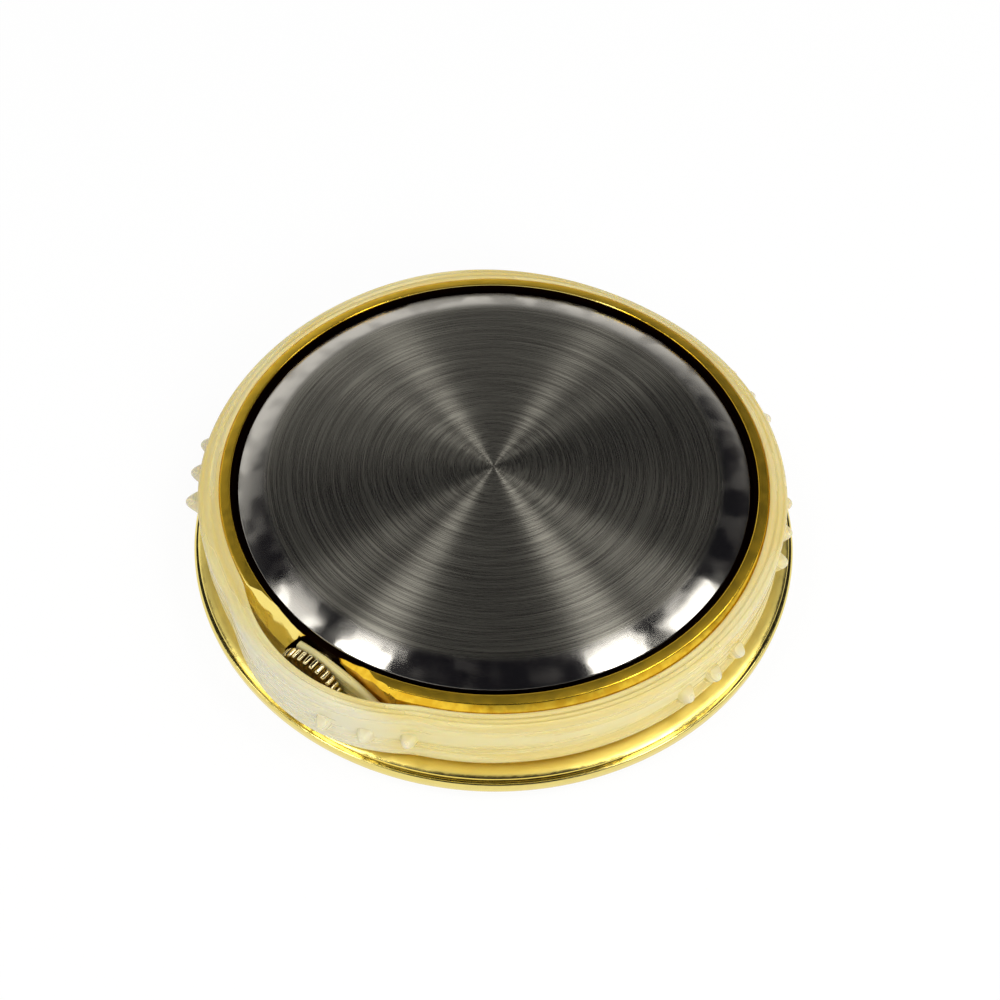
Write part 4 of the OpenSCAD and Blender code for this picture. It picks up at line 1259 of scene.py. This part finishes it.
tube_r = coil_r - wire_r
half_l = coil_l / 2 - wire_r
tube_corners = [(core_room_r, -half_l), (tube_r, -half_l), (tube_r, half_l), (core_room_r, half_l)]
coil = turned_piece("coil", tube_corners, "winding_enamel", 48)
run_tree(coil, helix_tree(), {
    "Turns": float(wire_turns - 1),
    "Radius": tube_r * MM,
    "Length": 2 * half_l * MM,
    "Wire radius": wire_r * MM,
    "Material": finishes["winding_enamel"],
})
along_core = Matrix.Rotation(coil_az, 4, "Z") @ Matrix.Rotation(math.pi / 2, 4, "Y")
coil.data.transform(Matrix.Translation(coil_middle) @ along_core)
stands_for(coil, "case", "coil_winding")

# %% [markdown]
# Print on the dial
#
# The dial is pad-printed with a minute track and plain numerals. The print has almost no height, so
# a layer two hundredths of a millimetre thick stands for the ink. It is geometry and not a picture,
# so it stays sharp however close the eye comes. The dial faces down here, since the insert lies on
# its bezel: the numerals are turned over and set round it in clock order, with the crown at three.

# %% Minute track and numerals
ink = 0.02
dial_z = low_of("dial")
track_r = 13.35
numeral_r = 9.9
numeral_size = 2.3
twelve_az = crown_az - math.pi / 2


def minute_tick(edit):
    """A short bar that points away from the middle and narrows a little outward."""
    outline = [(0, -0.035), (0.42, -0.028), (0.45, 0), (0.42, 0.028), (0, 0.035)]
    loft(edit, [[(x, y, z) for x, y in outline] for z in (0, ink)])


def tick_places(edit):
    """One vertex for each minute."""
    for minute in range(60):
        edit.verts.new(polar(track_r, twelve_az + math.tau * minute / 60, dial_z - ink) * MM)


def numeral(hour):
    """The mesh of one numeral, upright round the dial and facing down."""
    curve = bpy.data.curves.new(f"numeral_{hour}", "FONT")
    curve.body = str(hour)
    curve.size = numeral_size * MM
    curve.extrude = ink / 2 * MM
    curve.resolution_u = 6
    curve.align_x = "CENTER"
    curve.align_y = "CENTER"
    letters = bpy.data.objects.new(curve.name, curve)
    bpy.context.scene.collection.objects.link(letters)
    mesh = made_mesh(letters)
    bpy.data.objects.remove(letters)
    upright = Matrix.Rotation(twelve_az - math.pi / 2, 4, "Z") @ Matrix.Rotation(math.pi, 4, "Y")
    centre = polar(numeral_r, twelve_az + math.tau * hour / 12, dial_z - ink / 2)
    mesh.transform(Matrix.Translation(centre * MM) @ upright)
    return mesh


def numerals(edit):
    """All twelve numerals in one mesh."""
    for hour in range(1, 13):
        edit.from_mesh(numeral(hour))


minute_track = set_round("minute_track", minute_tick, tick_places, "hand_black")
dial_numerals = new_piece("dial_numerals", numerals, "hand_black")
for printed in (minute_track, dial_numerals):
    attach(printed, "case")
    print(f"{printed.name}: {len(printed.data.polygons)} faces")

# %% [markdown]
# Floor, light and camera
#
# The object stands on a plain white floor, as in a shop's photograph. Two soft boxes hang on each
# side of it: the higher pair makes the bright spokes of the back, and the lower pair the white
# patches on its roll. A lamp in front fills the shadows, and reflections don't see it. A dark flag
# overhead is what polished metal needs to show its form, and only reflections see that. Its edge
# is lower in some directions than in others, which is how the white comes into the gold.

# %% Floor
floor_mesh = bpy.data.meshes.new("floor")
floor_half = 1.5
floor_corners = [Vector((x, y, 0)) * floor_half for x, y in ((-1, -1), (1, -1), (1, 1), (-1, 1))]
floor_mesh.from_pydata(floor_corners, [], [(0, 1, 2, 3)])
floor = bpy.data.objects.new("floor", floor_mesh)
bpy.context.scene.collection.objects.link(floor)


def background_rays(graph):
    """1 for rays that look at the background, directly, in a reflection or through glass."""
    path = graph.add("ShaderNodeLightPath")
    seen = path.out("Is Camera Ray") + path.out("Is Glossy Ray") + path.out("Is Transmission Ray")
    return graph.math("MINIMUM", seen, 1.0)


def floor_finish():
    """Matt white that takes soft shadows, mixed with a glow of its own that keeps it even. It is
    clear from below, so the dial side can be looked at."""
    material, graph = new_finish("floor_white")
    matt = graph.add("ShaderNodeBsdfDiffuse", inputs={"Color": (0.92, 0.92, 0.91, 1)})
    glow = graph.add("ShaderNodeEmission", inputs={"Color": (1, 1, 1, 1), "Strength": 1.0})
    seen = background_rays(graph) * 0.92
    lit = graph.add("ShaderNodeMixShader", inputs={0: seen, 1: matt, 2: glow})
    under = graph.add("ShaderNodeNewGeometry").out("Backfacing")
    clear = graph.add("ShaderNodeBsdfTransparent")
    both = graph.add("ShaderNodeMixShader", inputs={0: under, 1: lit, 2: clear})
    graph.add("ShaderNodeOutputMaterial", inputs={"Surface": both})
    return material


floor_mesh.materials.append(floor_finish())

# %% World
world = bpy.data.worlds.new("studio")
world.use_nodes = True
world.node_tree.nodes.clear()
bpy.context.scene.world = world
sky = Graph(world.node_tree)
fill_level = 0.5
sky_level = background_rays(sky) * (1 - fill_level) + fill_level
sky_light = sky.add("ShaderNodeBackground", inputs={"Color": (1, 1, 1, 1), "Strength": sky_level})
sky.add("ShaderNodeOutputWorld", inputs={"Surface": sky_light})


# %% Soft boxes
def toward(azimuth, elevation, distance):
    """The point at that distance from the origin, with angles in degrees."""
    rise = math.radians(elevation)
    return polar(math.cos(rise), math.radians(azimuth), math.sin(rise)) * distance


def soft_box(name, azimuth, elevation, width, height, radiance, lean=0, distance=0.3):
    """A rectangular lamp that faces the object and leans by an angle in its own plane. Its power
    follows from its size and its radiance. Sizes are in metres, and angles in degrees."""
    data = bpy.data.lights.new(name, "AREA")
    data.shape = "RECTANGLE"
    data.size = width
    data.size_y = height
    data.energy = radiance * math.pi * width * height
    lamp = bpy.data.objects.new(name, data)
    lamp.location = toward(azimuth, elevation, distance)
    facing = lamp.location.to_track_quat("Z", "Y").to_matrix().to_4x4()
    lamp.rotation_euler = (facing @ Matrix.Rotation(math.radians(lean), 4, "Z")).to_euler()
    bpy.context.scene.collection.objects.link(lamp)
    return lamp


fill = soft_box("front_fill", 290, 28, 0.26, 0.14, 7.0, distance=0.4)
fill.visible_glossy = False
lamps = [
    soft_box("key_right", -13, 65, 0.05, 0.13, 8.0, lean=-45),
    soft_box("edge_right", 9, 51, 0.065, 0.12, 3.4, lean=-42),
    soft_box("key_left", 193, 65, 0.045, 0.13, 7.0, lean=45),
    soft_box("edge_left", 171, 51, 0.055, 0.12, 2.6, lean=42),
    fill,
]
for lamp in lamps:
    print(f"{lamp.name}: {lamp.data.energy:.2f} W")

# %% Flag
flag_r = 0.6
flag_low = math.radians(4)


def flag_dome(edit):
    """A dome over the object, open below, as a row of circles that get smaller upwards."""
    levels = 24
    steps = 48
    circles = []
    for level in range(levels):
        rise = flag_low + (math.pi / 2 - flag_low) * level / levels
        r = flag_r * math.cos(rise) / MM
        z = flag_r * math.sin(rise) / MM
        circles.append([polar(r, math.tau * i / steps, z) for i in range(steps)])
    loft(edit, circles, close_start=False)


def flag_finish():
    """Dark cloth above an edge, and nothing below it. The edge is soft: it starts at low_edge, is
    closed at high_edge, and both rise towards the left, the front and the far middle."""
    material, graph = new_finish("flag_dark")
    x, y, z = [part * MM / flag_r for part in parts_of(graph, place_mm(graph))]
    rise = graph.math("ARCSINE", graph.math("MINIMUM", z, 1.0))
    left = 1 - graph.ease(x, -0.45, 0.1)
    front = 1 - graph.ease(y, -0.5, -0.05)
    far = graph.ease(y, 0.3, 0.5) * (1 - graph.ease(graph.math("ABSOLUTE", x), 0.2, 0.5))
    low_edge = left * 20 + front * 13 + far * 5 + 9
    high_edge = left * 10 + front * 24 + far * 11 + 31
    dark = graph.ease(rise, low_edge * math.radians(1), high_edge * math.radians(1))
    cloth = graph.add("ShaderNodeEmission", inputs={"Color": (0.012, 0.012, 0.016, 1), "Strength": 1.0})
    clear = graph.add("ShaderNodeBsdfTransparent")
    both = graph.add("ShaderNodeMixShader", inputs={0: dark, 1: clear, 2: cloth})
    graph.add("ShaderNodeOutputMaterial", inputs={"Surface": both})
    return material


finishes["flag_dark"] = flag_finish()
flag = new_piece("flag", flag_dome, "flag_dark")
flag.visible_camera = False
flag.visible_diffuse = False
flag.visible_transmission = False
flag.visible_volume_scatter = False
flag.visible_shadow = False

# %% [markdown]
# Camera
#
# The camera was solved from the photograph: from the ellipses of the bezel, the rim and the back
# follow its height and distance, and from their middles the point of the picture it aims at. It
# stands close, about ninety millimetres away, so the near side of the band is clearly larger.

# %% Camera
camera_distance = 92.35 * MM
camera_rise = math.radians(52.75)
camera_roll = math.radians(-0.62)
camera_side = -1.82 * MM
focal_px = 1490
frame_px = 1000
centre_px = (463.3, 531.1)
camera_data = bpy.data.cameras.new("camera")
camera_data.sensor_width = 36
camera_data.lens = camera_data.sensor_width * focal_px / frame_px
camera_data.shift_x = 0.5 - centre_px[0] / frame_px
camera_data.shift_y = centre_px[1] / frame_px - 0.5
camera_data.clip_start = 0.001
camera_data.clip_end = 10
camera = bpy.data.objects.new("camera", camera_data)
camera.location = (
    camera_side,
    -camera_distance * math.cos(camera_rise),
    camera_distance * math.sin(camera_rise),
)
look = Matrix.Rotation(math.pi / 2 - camera_rise, 4, "X")
camera.rotation_euler = (look @ Matrix.Rotation(camera_roll, 4, "Z")).to_euler()
bpy.context.scene.collection.objects.link(camera)
bpy.context.scene.camera = camera
print(f"Camera: {camera_data.lens:.1f} mm lens, {camera_distance / MM:.0f} mm from the middle")
bpy.context.scene.view_settings.view_transform = "Standard"
